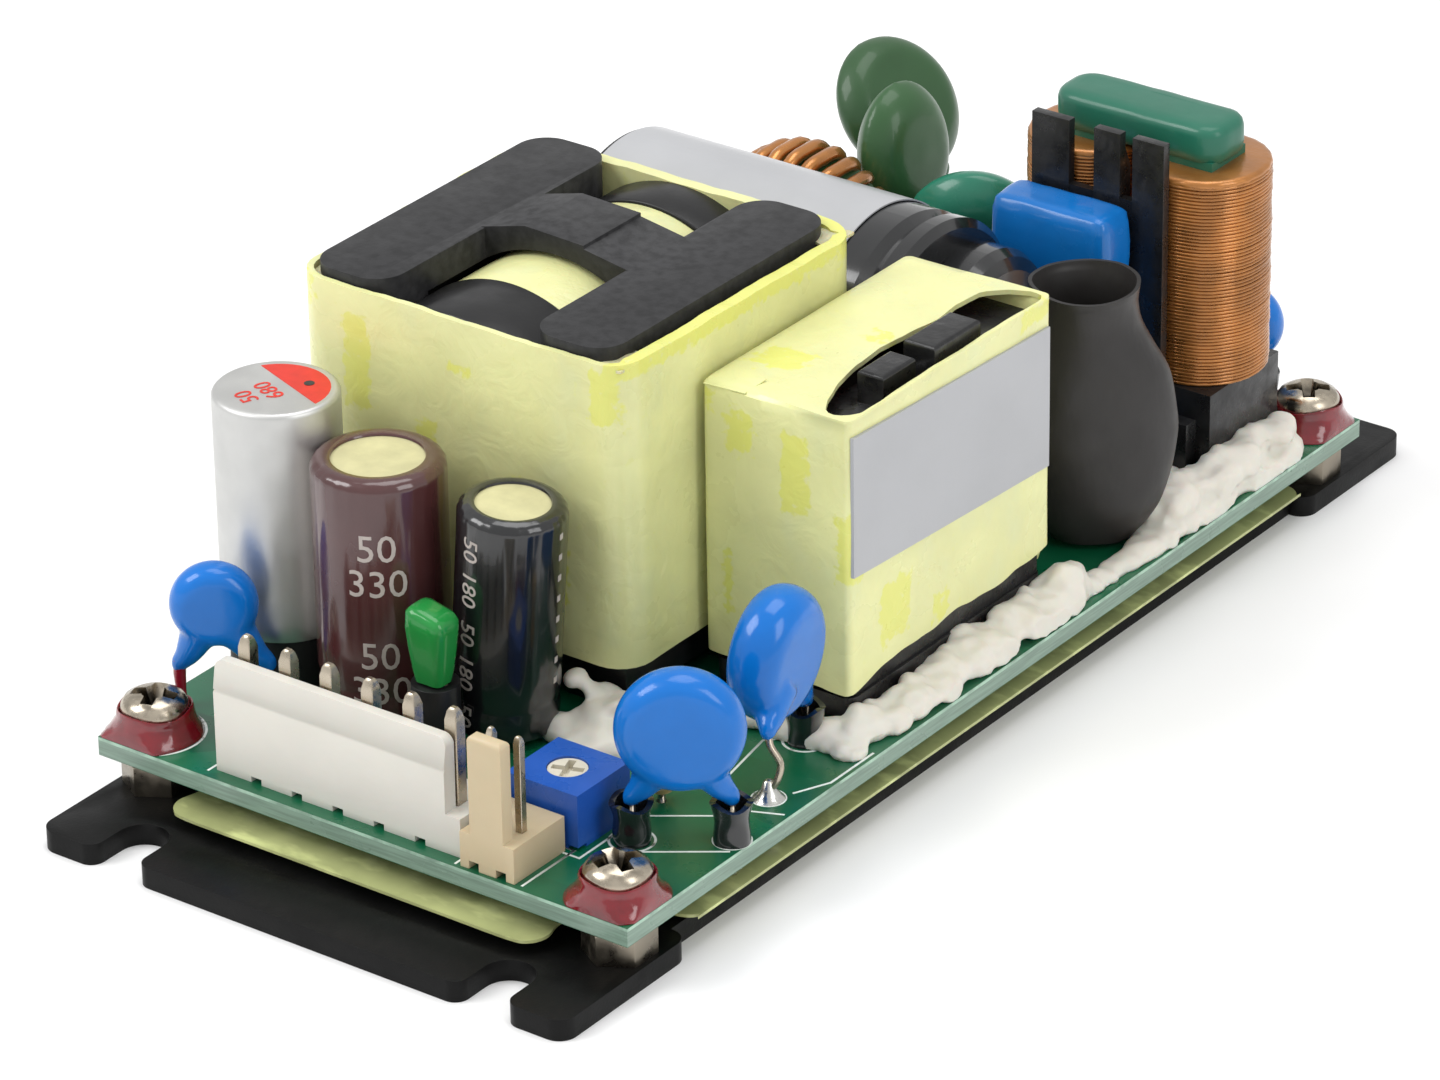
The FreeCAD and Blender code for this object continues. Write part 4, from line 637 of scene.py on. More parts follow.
def ferrite_grey():
    """Pressed ferrite: matt, with pale scuffs and chipped edges."""
    f = Finish("ferrite_grey", colours().ferrite, 0.5, Specular_IOR_Level=0.25)
    base = f.base
    tone = f.mix(f.ramp(f.noise(7, 4), 0.35, 0.65), base * 0.93, base * 1.08)
    scuff = f.ramp(f.noise(1.1, 6, 0.65), 0.68, 0.8, 0.0, 0.3)
    marked = f.mix(scuff, tone, base * 2.2)
    worn = f.math("MULTIPLY", f.stored("edge"),
                  f.ramp(f.noise(0.9, 4), 0.35, 0.6, 0.35, 1.0))
    f.paint(f.mix(worn, marked, base * 3.2))
    f.roughen(3, 0.4, 0.5)
    return f.grain(0.35, 0.012)


def moulding_gloss():
    """Rough glossy moulding with drips of varnish."""
    f = Finish("moulding_gloss", colours().moulding, 0.3, Coat_Weight=0.3,
               Coat_Roughness=0.12, Specular_IOR_Level=0.3)
    f.mottle(2.5, 0.3)
    f.roughen(1.5, 0.2, 0.5)
    return f.grain(1.4, 0.2, 4.0, 0.6)


def epoxy(name, base, rough, depth):
    """A dipped coat: glossy, with a faint unevenness from the dip."""
    f = Finish(name, base, rough, Coat_Weight=0.25, Coat_Roughness=0.08,
               Specular_IOR_Level=0.3)
    f.mottle(5, 0.07)
    f.roughen(3, rough - 0.03, rough + 0.1)
    return f.grain(3.5, depth, 2.0, 0.5)


def sleeve(name, base):
    """Shrunk sleeve: glossy film with faint rings from the winding inside."""
    f = Finish(name, base, 0.2, Coat_Weight=0.6, Coat_Roughness=0.08)
    f.mottle(6, 0.12)
    f.roughen(4, 0.16, 0.28)
    return f.bump(f.noise(2.0, 2, at=f.stretched((0.4, 0.4, 1))), 0.05, 0.5)


def can_silver():
    """Drawn aluminium with a satin, slightly uneven skin."""
    f = Finish("can_silver", colours().can, 0.42, Metallic=0.85)
    f.mottle(8, 0.05)
    f.roughen(2.5, 0.36, 0.5)
    return f.bump(f.noise(0.5, 3, at=f.stretched((1, 1, 0.05))), 0.01, 0.6)


def metal(name, base, rough, size=0.6, depth=0.01):
    """Plated metal: faint mottle, uneven gloss and a fine grain."""
    f = Finish(name, base, rough, Metallic=1.0)
    f.mottle(size * 4, 0.1)
    f.roughen(size * 2, max(0.05, rough - 0.08), rough + 0.1)
    return f.grain(size, depth)


def nickel_cross():
    """Screw metal, with painted shade down in the cross."""
    f = Finish("nickel_cross", colours().nickel, 0.22, Metallic=1.0)
    base = f.base
    worn = f.mix(f.ramp(f.noise(1.2, 3), 0.35, 0.65), base * 0.62, base * 0.95)
    # Painted shade: points stored as lying down in the cross are painted near black
    f.paint(f.mix(f.stored("recess"), worn, base * 0.05))
    f.roughen(1.2, 0.14, 0.34)
    return f.grain(0.6, 0.012)


def copper_wire():
    """Enamelled wire: warm metal under clear lacquer."""
    f = Finish("copper_wire", colours().copper, 0.28, Metallic=0.75, Coat_Weight=0.6,
               Coat_Roughness=0.12)
    base = f.base
    f.paint(f.mix(f.ramp(f.noise(4, 4), 0.35, 0.65), base * 0.75, base * 1.2))
    return f.roughen(2, 0.22, 0.36)


def heat_shrink():
    f = Finish("heat_shrink", colours().shrink, 0.42, Specular_IOR_Level=0.4)
    f.mottle(7, 0.2)
    f.roughen(3, 0.36, 0.52)
    return f.bump(f.noise(3.2, 3, at=f.stretched((1, 1, 0.5))), 0.25, 0.45)


SOFT_NYLON = {"Subsurface_Weight": 0.08, "Subsurface_Scale": 0.001}

# Finishes that differ only in their numbers: the maker, the colour by its name, code or
# values, how much of it, then the maker's own values
FINISHES = {
    "moulding_black": (plastic, "moulding", 1, 0.34, 0.4, 0.15, 0.008,
                       {"Specular_IOR_Level": 0.35}),
    "rubber_black": (plastic, "moulding", 1, 0.6, 0.5, 0.15, 0.015),
    "trimmer_blue": (plastic, "trimmer", 1, 0.3, 0.4, 0.06, 0.008),
    "rotor_cream": (plastic, "rotor", 1, 0.42, 0.3, 0.06, 0.01),
    "white_nylon": (plastic, "white", 1, 0.42, 0.5, 0.02, 0.012, SOFT_NYLON),
    "cream_nylon": (plastic, "cream", 1, 0.42, 0.5, 0.04, 0.012, SOFT_NYLON),
    "ceramic_tan": (plastic, "B79E6D", 1, 0.4, 0.3, 0.08, 0.01),
    "epoxy_blue": (epoxy, "epoxy_blue", 1, 0.16, 0.12),
    "box_blue": (epoxy, "box_blue", 1, 0.2, 0.06),
    "epoxy_green": (epoxy, "green_disc", 1, 0.36, 0.12),
    "epoxy_green_pale": (epoxy, "green_disc", 1.2, 0.34, 0.12),
    "epoxy_teal": (epoxy, "teal", 1, 0.22, 0.1),
    "core_teal": (epoxy, "teal", 0.72, 0.35, 0.05),
    "led_green": (epoxy, "green_led", 1, 0.1, 0.02),
    "red_lacquer": (epoxy, "8E1B2C", 1, 0.2, 0.05),
    "sleeve_brown": (sleeve, "brown", 1),
    "sleeve_black": (sleeve, "black", 1),
    "nickel_dull": (metal, "nickel", 0.55, 0.34),
    "pin_metal": (metal, "nickel", 0.85, 0.28, 0.4),
    "solder": (metal, "C9C9C4", 1, 0.25, 0.5, 0.03),
    "print_red": (coat, "can_red", 1, 0.45, (1.0, 0.08)),
    "print_black": (coat, (0.02, 0.02, 0.02), 1, 0.45, (1.0, 0.2)),
    "print_grey": (coat, "B9AFA9", 1, 0.4, (1.0, 0.08)),
    "legend_white": (coat, "legend", 1, 0.45, (0.6, 0.1)),
    "seal_beige": (coat, "disc", 1, 0.45, (2, 0.1), (0.8, 0.05)),
    "label_grey": (coat, "label", 1, 0.4, (12, 0.05), (0.3, 0.01)),
    "label_bulk": (coat, "label", 1, 0.32, (9, 0.06), None,
                   {"Coat_Weight": 0.3, "Coat_Roughness": 0.2}),
    "tape_folded": (coat, "C9C39C", 1, 0.35, (1.5, 0.18), (1.2, 0.25, 3.0, 0.7),
                    {"Coat_Weight": 0.4, "Coat_Roughness": 0.15, "Subsurface_Weight": 0.15,
                     "Subsurface_Scale": 0.001}),
    "silicone_white": (coat, "glue", 1, 0.42, (3, 0.03), (1.6, 0.06, 3.0, 0.5),
                       {"Subsurface_Weight": 0.2, "Subsurface_Scale": 0.0015}),
    "glue_clear": (coat, (0.85, 0.87, 0.86), 1, 0.08, (2, 0.05), (1.2, 0.2, 3.0, 0.8),
                   {"Alpha": 0.55, "Coat_Weight": 1.0, "Coat_Roughness": 0.03}),
    "cup_red": (coat, "cup", 1, 0.12, (2.0, 0.25), (1.6, 0.25, 2.0, 0.6),
                {"Alpha": 0.93, "Coat_Weight": 0.8, "Coat_Roughness": 0.05,
                 "Subsurface_Weight": 0.15, "Subsurface_Scale": 0.001}),
    "copper_smooth": (coat, "copper", 1, 0.35, (3, 0.15), (0.8, 0.05),
                      {"Metallic": 0.6, "Coat_Weight": 0.5, "Coat_Roughness": 0.15}),
}
OWN_FINISHES = {f.__name__: f for f in (
    plate_black, board_green, film_clear, tape_yellow, ferrite_grey, moulding_gloss,
    can_silver, nickel_cross, copper_wire, heat_shrink)}
made_finishes = {}


def finish(name):
    """A finish by name, made once."""
    if name in made_finishes:
        return made_finishes[name]
    if name in OWN_FINISHES:
        made = OWN_FINISHES[name]()
    else:
        maker, base, share, *values = FINISHES[name]
        sockets = values.pop() if values and isinstance(values[-1], dict) else {}
        if isinstance(base, str):
            base = getattr(colours(), base) if hasattr(colours(), base) else hue(base)
        made = maker(name, tuple(c * share for c in base), *values, **sockets)
    made_finishes[name] = made.material
    return made.material


# Repeats made by geometry nodes

class Repeat(NodeTree):
    """A node tree that sets copies of a shape along a run, then makes them real."""

    def __init__(self, name, inputs):
        self.tree = bpy.data.node_groups.new(name, "GeometryNodeTree")
        self.keys = {}
        for label, way, (kind, value) in (
                ("Geometry", "INPUT", ("Geometry", None)),
                *((label, "INPUT", rest) for label, rest in inputs.items()),
                ("Geometry", "OUTPUT", ("Geometry", None))):
            socket = self.tree.interface.new_socket(label, in_out=way,
                                                    socket_type="NodeSocket" + kind)
            if value is not None:
                socket.default_value = value
                self.keys[label] = socket.identifier
        self.entry = self.tree.nodes.new("NodeGroupInput")
        self.exit = self.tree.nodes.new("NodeGroupOutput")

    def value(self, label):
        return self.entry.outputs[label]

    def close(self, geometry, material):
        real = self.node("GeometryNodeRealizeInstances", {"Geometry": geometry})
        dressed = self.node("GeometryNodeSetMaterial", {"Geometry": real,
                                                        "Material": material})
        smooth = self.node("GeometryNodeSetShadeSmooth", {"Geometry": dressed})
        self.tree.links.new(smooth.outputs[0], self.exit.inputs[0])

    def run(self, name, values, start=None):
        """Evaluates the tree on an object and returns the plain mesh."""
        obj = new_object(name + "_seed", start or bpy.data.meshes.new(name + "_seed"))
        modifier = obj.modifiers.new("repeat", "NODES")
        modifier.node_group = self.tree
        for label, value in values.items():
            modifier[self.keys[label]] = value
        out = plain_mesh(obj, name)
        bpy.data.objects.remove(obj)
        return out


def wire_turn(t, width, depth, corner, corner_points, wire_points):
    """One closed turn of round wire with rounded corners."""
    outline = t.node("GeometryNodeCurvePrimitiveQuadrilateral",
                     {"Width": width, "Height": depth})
    fillet = t.node("GeometryNodeFilletCurve", {"Curve": outline, "Radius": corner,
                                                "Count": corner_points}, mode="POLY")
    section = t.node("GeometryNodeCurvePrimitiveCircle",
                     {"Resolution": wire_points,
                      "Radius": t.math("MULTIPLY", t.value("Wire"), 0.5)})
    return t.node("GeometryNodeCurveToMesh", {"Curve": fillet, "Profile Curve": section})


def coil_tree(material):
    """Oval turns of wire stacked along Z, each a little out of line."""
    t = Repeat("oval_coil", {"Turns": ("Int", 10), "Bottom": ("Float", 0.0),
                             "Height": ("Float", 0.01), "Width": ("Float", 0.008),
                             "Depth": ("Float", 0.012), "Wire": ("Float", 0.0003),
                             "Centre X": ("Float", 0.0), "Centre Y": ("Float", 0.0)})
    turn = wire_turn(t, t.value("Width"), t.value("Depth"),
                     t.math("MULTIPLY", t.value("Width"), 0.499), 9, 6)
    count = t.value("Turns")
    pitch = t.math("DIVIDE", t.value("Height"), t.math("SUBTRACT", count, 1.0))
    step = t.node("ShaderNodeCombineXYZ", {"Z": pitch})
    first = t.node("ShaderNodeCombineXYZ", {"X": t.value("Centre X"), "Y": t.value("Centre Y"),
                                            "Z": t.value("Bottom")})
    line = t.node("GeometryNodeMeshLine", {"Count": count, "Start Location": first,
                                           "Offset": step})
    slip = t.node("FunctionNodeRandomValue",
                  {"Min": (-COIL_SLIP, -COIL_SLIP, 0.0), "Max": (COIL_SLIP, COIL_SLIP, 0.0),
                   "Seed": 7}, data_type="FLOAT_VECTOR")
    moved = t.node("GeometryNodeSetPosition", {"Geometry": line, "Offset": slip})
    t.close(t.node("GeometryNodeInstanceOnPoints", {"Points": moved, "Instance": turn}),
            material)
    return t


def toroid_tree(material):
    """Turns of thick wire round a ring that stands on edge."""
    t = Repeat("ring_coil", {"Turns": ("Int", 12), "Ring": ("Float", 0.0055),
                             "Radial": ("Float", 0.0045), "Width": ("Float", 0.006),
                             "Wire": ("Float", 0.001), "Start": ("Float", 0.3),
                             "Sweep": ("Float", 5.6), "Centre": ("Vector", (0, 0, 0))})
    turn = wire_turn(t, t.value("Radial"), t.value("Width"),
                     t.math("MULTIPLY", t.value("Wire"), 1.7), 5, 12)
    line = t.node("GeometryNodeMeshLine", {"Count": t.value("Turns")})
    index = t.node("GeometryNodeInputIndex").outputs[0]
    share = t.math("DIVIDE", index, t.math("SUBTRACT", t.value("Turns"), 1.0))
    angle = t.math("ADD", t.value("Start"), t.math("MULTIPLY", share, t.value("Sweep")))
    spot = t.node("ShaderNodeCombineXYZ",
                  {"X": t.math("MULTIPLY", t.math("COSINE", angle), t.value("Ring")),
                   "Z": t.math("MULTIPLY", t.math("SINE", angle), t.value("Ring"))})
    placed = t.node("GeometryNodeSetPosition", {"Geometry": line, "Position": spot})
    tilt = t.node("ShaderNodeCombineXYZ", {"Y": t.math("MULTIPLY", angle, -1.0)})
    copies = t.node("GeometryNodeInstanceOnPoints",
                    {"Points": placed, "Instance": turn,
                     "Rotation": t.node("FunctionNodeEulerToRotation", {"Euler": tilt})})
    t.close(t.node("GeometryNodeTransform", {"Geometry": copies,
                                             "Translation": t.value("Centre")}), material)
    return t


def solder_tree(material):
    """A small upturned cone on every point of the seed mesh."""
    t = Repeat("solder_joints", {"Width": ("Float", 0.0019), "Rise": ("Float", 0.0008)})
    cone = t.node("GeometryNodeMeshCone",
                  {"Vertices": 14, "Side Segments": 3,
                   "Radius Top": t.math("MULTIPLY", t.value("Width"), 0.22),
                   "Radius Bottom": t.math("MULTIPLY", t.value("Width"), 0.5),
                   "Depth": t.value("Rise")})
    flip = t.node("ShaderNodeCombineXYZ", {"X": pi})
    copies = t.node("GeometryNodeInstanceOnPoints",
                    {"Points": t.value("Geometry"), "Instance": cone,
                     "Rotation": t.node("FunctionNodeEulerToRotation", {"Euler": flip})})
    t.close(copies, material)
    return t


# Operators

class SUPPLY_OT_stage(bpy.types.Operator):
    """Floor, soft lights and the camera at the photograph's angle"""
    bl_idname = "supply.stage"
    bl_label = "Stage"

    def execute(self, context):
        scene = context.scene
        scene.view_settings.view_transform = "Standard"
        add_floor()
        add_lights(scene)
        add_camera(scene)
        return {"FINISHED"}


CAMERA_AZIMUTH = 36.64
CAMERA_ELEVATION = 27.36
CAMERA_ROLL = -0.907
CAMERA_DISTANCE = 562.4
CAMERA_AIM = (-5.495, 2.824)
CAMERA_FOCAL_PIXELS = 6967.6


def add_camera(scene):
    """A long lens that looks past the near right corner, as measured in the photograph."""
    a, e, r = (radians(v) for v in (CAMERA_AZIMUTH, CAMERA_ELEVATION, CAMERA_ROLL))
    back = Vector((sin(a) * cos(e), -cos(a) * cos(e), sin(e)))
    right = Vector((cos(a), sin(a), 0.0))
    up = back.cross(right)
    x_axis = right * cos(r) + up * sin(r)
    y_axis = up * cos(r) - right * sin(r)
    data = bpy.data.cameras.new("camera")
    data.sensor_fit = "HORIZONTAL"
    data.sensor_width = 36.0
    data.lens = CAMERA_FOCAL_PIXELS / PHOTO_WIDTH * data.sensor_width
    data.clip_start = 0.01
    data.clip_end = 10.0
    camera = new_object("camera", data)
    aim = Vector((*CAMERA_AIM, BOARD_TOP)) * MM
    turn = Matrix((x_axis, y_axis, back)).transposed().to_4x4()
    camera.matrix_world = Matrix.Translation(aim + back * (CAMERA_DISTANCE * MM)) @ turn
    scene.camera = camera


def add_floor():
    bm = bmesh.new()
    bmesh.ops.create_grid(bm, x_segments=1, y_segments=1, size=1500)
    obj = new_object("floor", to_mesh(bm, "floor"))
    white = bpy.data.materials.new("floor_white")
    white.use_nodes = True
    shader = white.node_tree.nodes["Principled BSDF"]
    shader.inputs["Base Color"].default_value = (0.9, 0.9, 0.9, 1)
    shader.inputs["Roughness"].default_value = 0.9
    obj.data.materials.append(white)


def add_lights(scene):
    """Two large soft lamps over a bright even world."""
    world = bpy.data.worlds.new("studio")
    world.use_nodes = True
    world.node_tree.nodes["Background"].inputs["Color"].default_value = (1, 1, 1, 1)
    world.node_tree.nodes["Background"].inputs["Strength"].default_value = WORLD_STRENGTH
    scene.world = world
    for name, place, size, power in LAMPS:
        data = bpy.data.lights.new(name, "AREA")
        data.shape = "RECTANGLE"
        data.size, data.size_y = size
        data.energy = power
        lamp = new_object(name, data)
        lamp.location = place
        lamp.rotation_mode = "QUATERNION"
        lamp.rotation_quaternion = (-Vector(place)).to_track_quat("-Z", "Y")


WORLD_STRENGTH = 0.75
LAMPS = (("lamp_left", (-0.55, -0.55, 0.75), (0.5, 0.5), 5.0),
         ("lamp_right", (0.85, -0.1, 0.55), (0.35, 0.6), 2.2),
         ("lamp_top", (0.0, 0.15, 1.0), (0.6, 0.6), 3.5))


SCREWS = [(-22.225, -47.625, 20), (22.225, -47.625, 62), (-22.225, 47.625, 8),
          (22.225, 47.625, 35)]
FILM_EDGE = [(0, -52.4), (9.0, -52.4), (15.4, -52.4), (17.1, -51.9), (17.75, -50.5),
             (17.35, -48.5), (17.75, -45.9), (19.3, -43.7), (21.6, -42.75), (24.0, -42.4),
             (25.1, -41.5), (25.25, -40.0), (25.25, -20.0), (25.25, 0)]


class SUPPLY_OT_base(bpy.types.Operator):
    """Base plate, soft pad, film, standoffs, screws and their red cups"""
    bl_idname = "supply.base"
    bl_label = "Base plate and fixings"

    def execute(self, context):
        ease = sizes().edge / MM
        add_piece("plate", softened("base_plate", ease * 1.6, 3), "plate_black", "black_plate",
                  "base_plate", smooth=35)
        self.sheet("pad", "base_gap_pad", 1.4, "rubber_black", "soft_pad")
        self.sheet("film", "insulating_film", 0.0, "film_clear", "clear_film")
        add_piece("nuts", softened("standoffs", 0.15), "nickel_dull", "nickel", "standoffs",
                  smooth=35)
        self.screws()
        self.cups()
        return {"FINISHED"}

    def sheet(self, name, node, inset, finish_name, slot):
        """A sheet with soft notches round the nuts."""
        low, high = span(node)
        quarter = [(p.x, p.y) for p in smooth_path([(x, y, 0) for x, y in FILM_EDGE], 5)]
        quarter = [(x - inset if x > 16 else x, y + inset if y < -38 else y)
                   for x, y in quarter]
        right = quarter[1:-1] + [(x, -y) for x, y in reversed(quarter[:-1])]
        outline = right + [(-x, -y) for x, y in right]
        bm = bmesh.new()
        slab(bm, outline, low[2], high[2])
        add_piece(name, bm, finish_name, slot, node, smooth=22)

    def screws(self):
        """Domed heads with a deep cross."""
        low, high = span("board_screws")
        head = high[2] - SCREW_HEAD_HEIGHT
        bm = bmesh.new()
        for x, y, _ in SCREWS:
            lathe(bm, [(0, low[2]), (1.3, low[2]), (1.5, low[2] + 0.3), (1.5, head),
                       (2.45, head), (2.66, head + 0.12), (2.7, head + 0.5),
                       (2.62, head + 0.95), (2.35, head + 1.4), (1.8, head + 1.72),
                       (1.0, head + 1.87), (0, high[2])], (x, y, 0), steps=48)
        for way in (0, 90, None):
            tool = bmesh.new()
            for x, y, turn in SCREWS:
                if way is None:
                    lathe(tool, [(0, head + 0.5), (0.5, head + 0.65), (0.85, head + 1.35),
                                 (1.15, high[2] + 0.4), (0, high[2] + 0.4)], (x, y, 0),
                          steps=20)
                    continue
                at = Matrix.Rotation(radians(turn + way), 3, "Z")
                stack(tool, [[tuple(Vector((x, y, z)) + at @ Vector((a, b, 0)))
                              for a, b in ((-long, -wide), (long, -wide), (long, wide),
                                           (-long, wide))]
                             for z, long, wide in ((head + 0.6, 0.7, 0.26),
                                                   (head + 1.2, 1.5, 0.42),
                                                   (high[2] + 0.4, 2.15, 0.6))])
            mesh = cut_mesh(bm, tool, "screws", 32)
            bm = bmesh.new()
            bm.from_mesh(mesh)
            bmesh.ops.scale(bm, vec=(1 / MM,) * 3, verts=bm.verts)
        out = to_mesh(bm, "screws", 32)
        # Painted shade: how far each point lies down in the cross, stored for the finish to
        # paint dark
        deep = []
        for v in out.vertices:
            at = v.co / MM
            r = min(hypot(at.x - x, at.y - y) for x, y, _ in SCREWS)
            dome = high[2] - 0.21 * r * r
            deep.append(min(1.0, max(0.0, (dome - at.z) / 0.35 - 0.2))
                        if r < 1.9 and at.z > head + 0.3 else 0.0)
        mark(out, "recess", deep)
        add_piece("screws", out, "nickel_cross", "nickel", "board_screws")

    def cups(self):
        """Soft red collars, spread and rumpled where they meet the board."""
        bm = bmesh.new()
        for k, (x, y, _) in enumerate(SCREWS):
            z = BOARD_TOP
            rings = []
            for r, h in ((1.75, 0.05), (4.0, 0.02), (4.02, 0.14), (3.72, 0.4), (3.38, 0.85),
                         (3.1, 1.4), (2.97, 1.9), (2.98, 2.2), (2.9, 2.36), (2.78, 2.3),
                         (2.74, 1.9), (2.74, 1.6), (1.75, 1.6)):
                ring = []
                for a in angles(72):
                    low = max(0.0, 1 - h / 1.2)
                    crimp = (0.05 * low * sin(5 * a + 2 * k)
                             + 0.09 * wave(5 * cos(a), 5 * sin(a), h, 2.4, k))
                    side = 1 + (0.08 * low * cos(a - radians(200))
                                if x < 0 > y else 0)
                    rr = r * side + (crimp if r > 2 and h < 2.2 else crimp * 0.3)
                    top = 0.16 * sin(3 * a + k) if h > 1.85 else 0.0
                    px = within(x + rr * cos(a), BOARD_HALF_WIDTH)
                    py = within(y + rr * sin(a), BOARD_HALF_LENGTH)
                    ring.append((px, py, z + max(0.01, h + top)))
                rings.append(ring)
            shell(bm, rings)
        add_piece("cups", bm, "cup_red", "red_cup", "screw_cones", smooth=70)


class SUPPLY_OT_board(bpy.types.Operator):
    """The circuit board, its printed outlines and the solder under it"""
    bl_idname = "supply.board"
    bl_label = "Circuit board"

    def execute(self, context):
        dress("circuit_board", "board_green")
        add_legend()
        add_solder()
        return {"FINISHED"}


def flat_line(bm, points, width, z0, z1):
    """A printed line: a thin strip with mitred joints."""
    pts = [Vector((x, y)) for x, y in points]
    closed = (pts[0] - pts[-1]).length < 1e-6
    left, right = [], []
    for i, p in enumerate(pts):
        a = pts[i - 1] if i else (pts[-2] if closed else None)
        b = pts[i + 1] if i + 1 < len(pts) else (pts[1] if closed else None)
        ways = [(q - p).normalized() * s for q, s in ((a, -1), (b, 1)) if q is not None]
        way = sum(ways, Vector((0, 0))).normalized()
        side = Vector((-way.y, way.x))
        stretch = 1 / max(0.4, abs(side.dot(Vector((-ways[0].y, ways[0].x)))))
        left.append(p + side * width / 2 * stretch)
        right.append(p - side * width / 2 * stretch)
    for i in range(len(pts) - 1):
        corners = (left[i], right[i], right[i + 1], left[i + 1])
        low = [bm.verts.new((*c, z0)) for c in corners]
        high = [bm.verts.new((*c, z1)) for c in corners]
        bm.faces.new(low)
        bm.faces.new(list(reversed(high)))
        join_rings(bm, low, high)


def circle_points(x, y, r, start=0, end=360):
    return [(x + px, y + py) for px, py in arc(0, 0, r, start, end, 40)]


def add_legend():
    """White outlines round the parts, as printed on such boards."""
    bm = bmesh.new()
    width = sizes().legend_width / MM
    z0, z1 = BOARD_TOP, BOARD_TOP + sizes().legend_rise / MM
    for x, y, _ in SCREWS:
        tilt = degrees(atan2(-y / abs(y) * 0.8, -x / abs(x)))
        run = [(px, py) for px, py in circle_points(x, y, 3.85, tilt - 100, tilt + 100)
               if abs(px) < 25.1 and abs(py) < 50.5]
        flat_line(bm, run, width, z0, z1)
    for line in LEGEND_LINES:
        flat_line(bm, line, width, z0, z1)
    for x, y, r in LEGEND_RINGS:
        flat_line(bm, circle_points(x, y, r), width, z0, z1)
    add_piece("legend", bm, "legend_white", "solder_mask")


LEGEND_RINGS = [(17.9, -40.2, 1.75), (24.0, -35.9, 1.45), (19.6, -20.4, 1.75),
                (22.5, -29.2, 1.3), (-20.38, -33.8, 4.85), (-10.1, -34.3, 5.05)]
LEGEND_LINES = [
    [(16.3, -44.6), (8.3, -44.6), (8.3, -36.8), (16.3, -36.8), (16.3, -44.6)],
    [(9.2, -51.0 + 0.5), (9.2, -43.9), (15.3, -43.9), (15.3, -50.3)],
    [(-15.0, -50.1), (-15.0, -43.9), (9.0, -43.9)],
    [(17.5, -42.6), (24.9, -37.4)],
    [(16.2, -36.9), (22.4, -32.6)],
    [(21.2, -32.2), (25.0, -30.6)],
    [(23.6, -27.6), (25.0, -24.6), (25.0, -19.0)],
    [(18.1, -28.8), (16.9, -22.2), (18.2, -20.9)],
    [(21.6, -18.9), (22.6, -18.9), (22.6, 3.0)],
    [(15.4, -31.6), (19.6, -30.3)],
]


def add_solder():
    """A joint under every lead, set on the lead's own place."""
    bm = bmesh.new()
    for x, y in lead_spots():
        bm.verts.new((x * MM, y * MM, (BOARD_UNDER - 0.4) * MM))
    seed = bpy.data.meshes.new("solder_seed")
    bm.to_mesh(seed)
    bm.free()
    mesh = solder_tree(finish("solder")).run(
        "solder_joints", {"Width": sizes().solder_width, "Rise": 0.8 * MM}, seed)
    add_piece("solder_joints", mesh, "solder", "tinned_wire")


def lead_spots():
    """Middle of each lead where it comes out below the board."""
    spots = []
    for node in ("component_leads", "output_header_pins", "signal_header_pins",
                 "ac_header_pins"):
        bm = node_copy(node)
        for island in islands(bm):
            bottom = min(v.co.z for v in island)
            low, high = extent([v.co for v in island if v.co.z < bottom + 0.05])
            spots.append(((low[0] + high[0]) / 2, (low[1] + high[1]) / 2))
        bm.free()
    return spots


class SUPPLY_OT_headers(bpy.types.Operator):
    """White output header, cream signal header and the mains header, with their pins"""
    bl_idname = "supply.headers"
    bl_label = "Headers"

    def execute(self, context):
        ease = sizes().edge / MM
        for node, finish_name, slot in (
                ("output_header_housing", "white_nylon", "white_nylon"),
                ("signal_header_housing", "cream_nylon", "cream_nylon"),
                ("ac_header_housing", "white_nylon", "white_nylon")):
            name = node.replace("_housing", "_moulding")
            bm = softened(node, ease * 0.8, 3)
            if node == "output_header_housing":
                self.crease(bm, node)
            add_piece(name, ruffled(bm, 6, 0.03), finish_name, slot, node, smooth=25)
        for node in ("output_header_pins", "signal_header_pins", "ac_header_pins"):
            name = node.replace("_pins", "_posts")
            add_piece(name, self.posts(node), "pin_metal", "tinned_wire", node)
        return {"FINISHED"}

    def crease(self, bm, node):
        """The top of the front wall leans back a little above a faint line."""
        low, high = span(node)
        line = high[2] - 2.6
        for level in (line - 0.14, line, line + 0.14):
            bmesh.ops.bisect_plane(bm, geom=bm.verts[:] + bm.edges[:] + bm.faces[:],
                                   plane_co=(0, 0, level), plane_no=(0, 0, 1))
        for v in bm.verts:
            if v.co.y > low[1] + 0.6:
                continue
            if abs(v.co.z - line) < 0.01:
                v.co.y += 0.13
            elif v.co.z > line:
                v.co.y += 0.16 * (v.co.z - line)

    def posts(self, node):
        """Square pins whose tips are cut to a blunt chamfer on every side."""
        bm = node_copy(node)
        boxes = [extent([v.co for v in island]) for island in islands(bm)]
        bm.free()
        bm = bmesh.new()
        for low, high in boxes:
            x, y = (low[0] + high[0]) / 2, (low[1] + high[1]) / 2
            w, d = (high[0] - low[0]) / 2, (high[1] - low[1]) / 2
            tip = min(1.1, w * 1.7)
            rings = []
            for z, a, b in ((low[2], 0.55, 0.55), (low[2] + tip * 0.6, 1, 1),
                            (high[2] - tip, 1, 1), (high[2] - tip * 0.35, 0.8, 0.62),
                            (high[2] - tip * 0.08, 0.55, 0.42), (high[2], 0.38, 0.3)):
                c = 0.14
                rings.append([(x + w * a * i, y + d * b * j, z) for i, j in (
                    (-1, -1 + c), (-1 + c, -1), (1 - c, -1), (1, -1 + c), (1, 1 - c),
                    (1 - c, 1), (-1 + c, 1), (-1, 1 - c))])
            stack(bm, rings)
        return to_mesh(bm, node + "_shaped", 30)


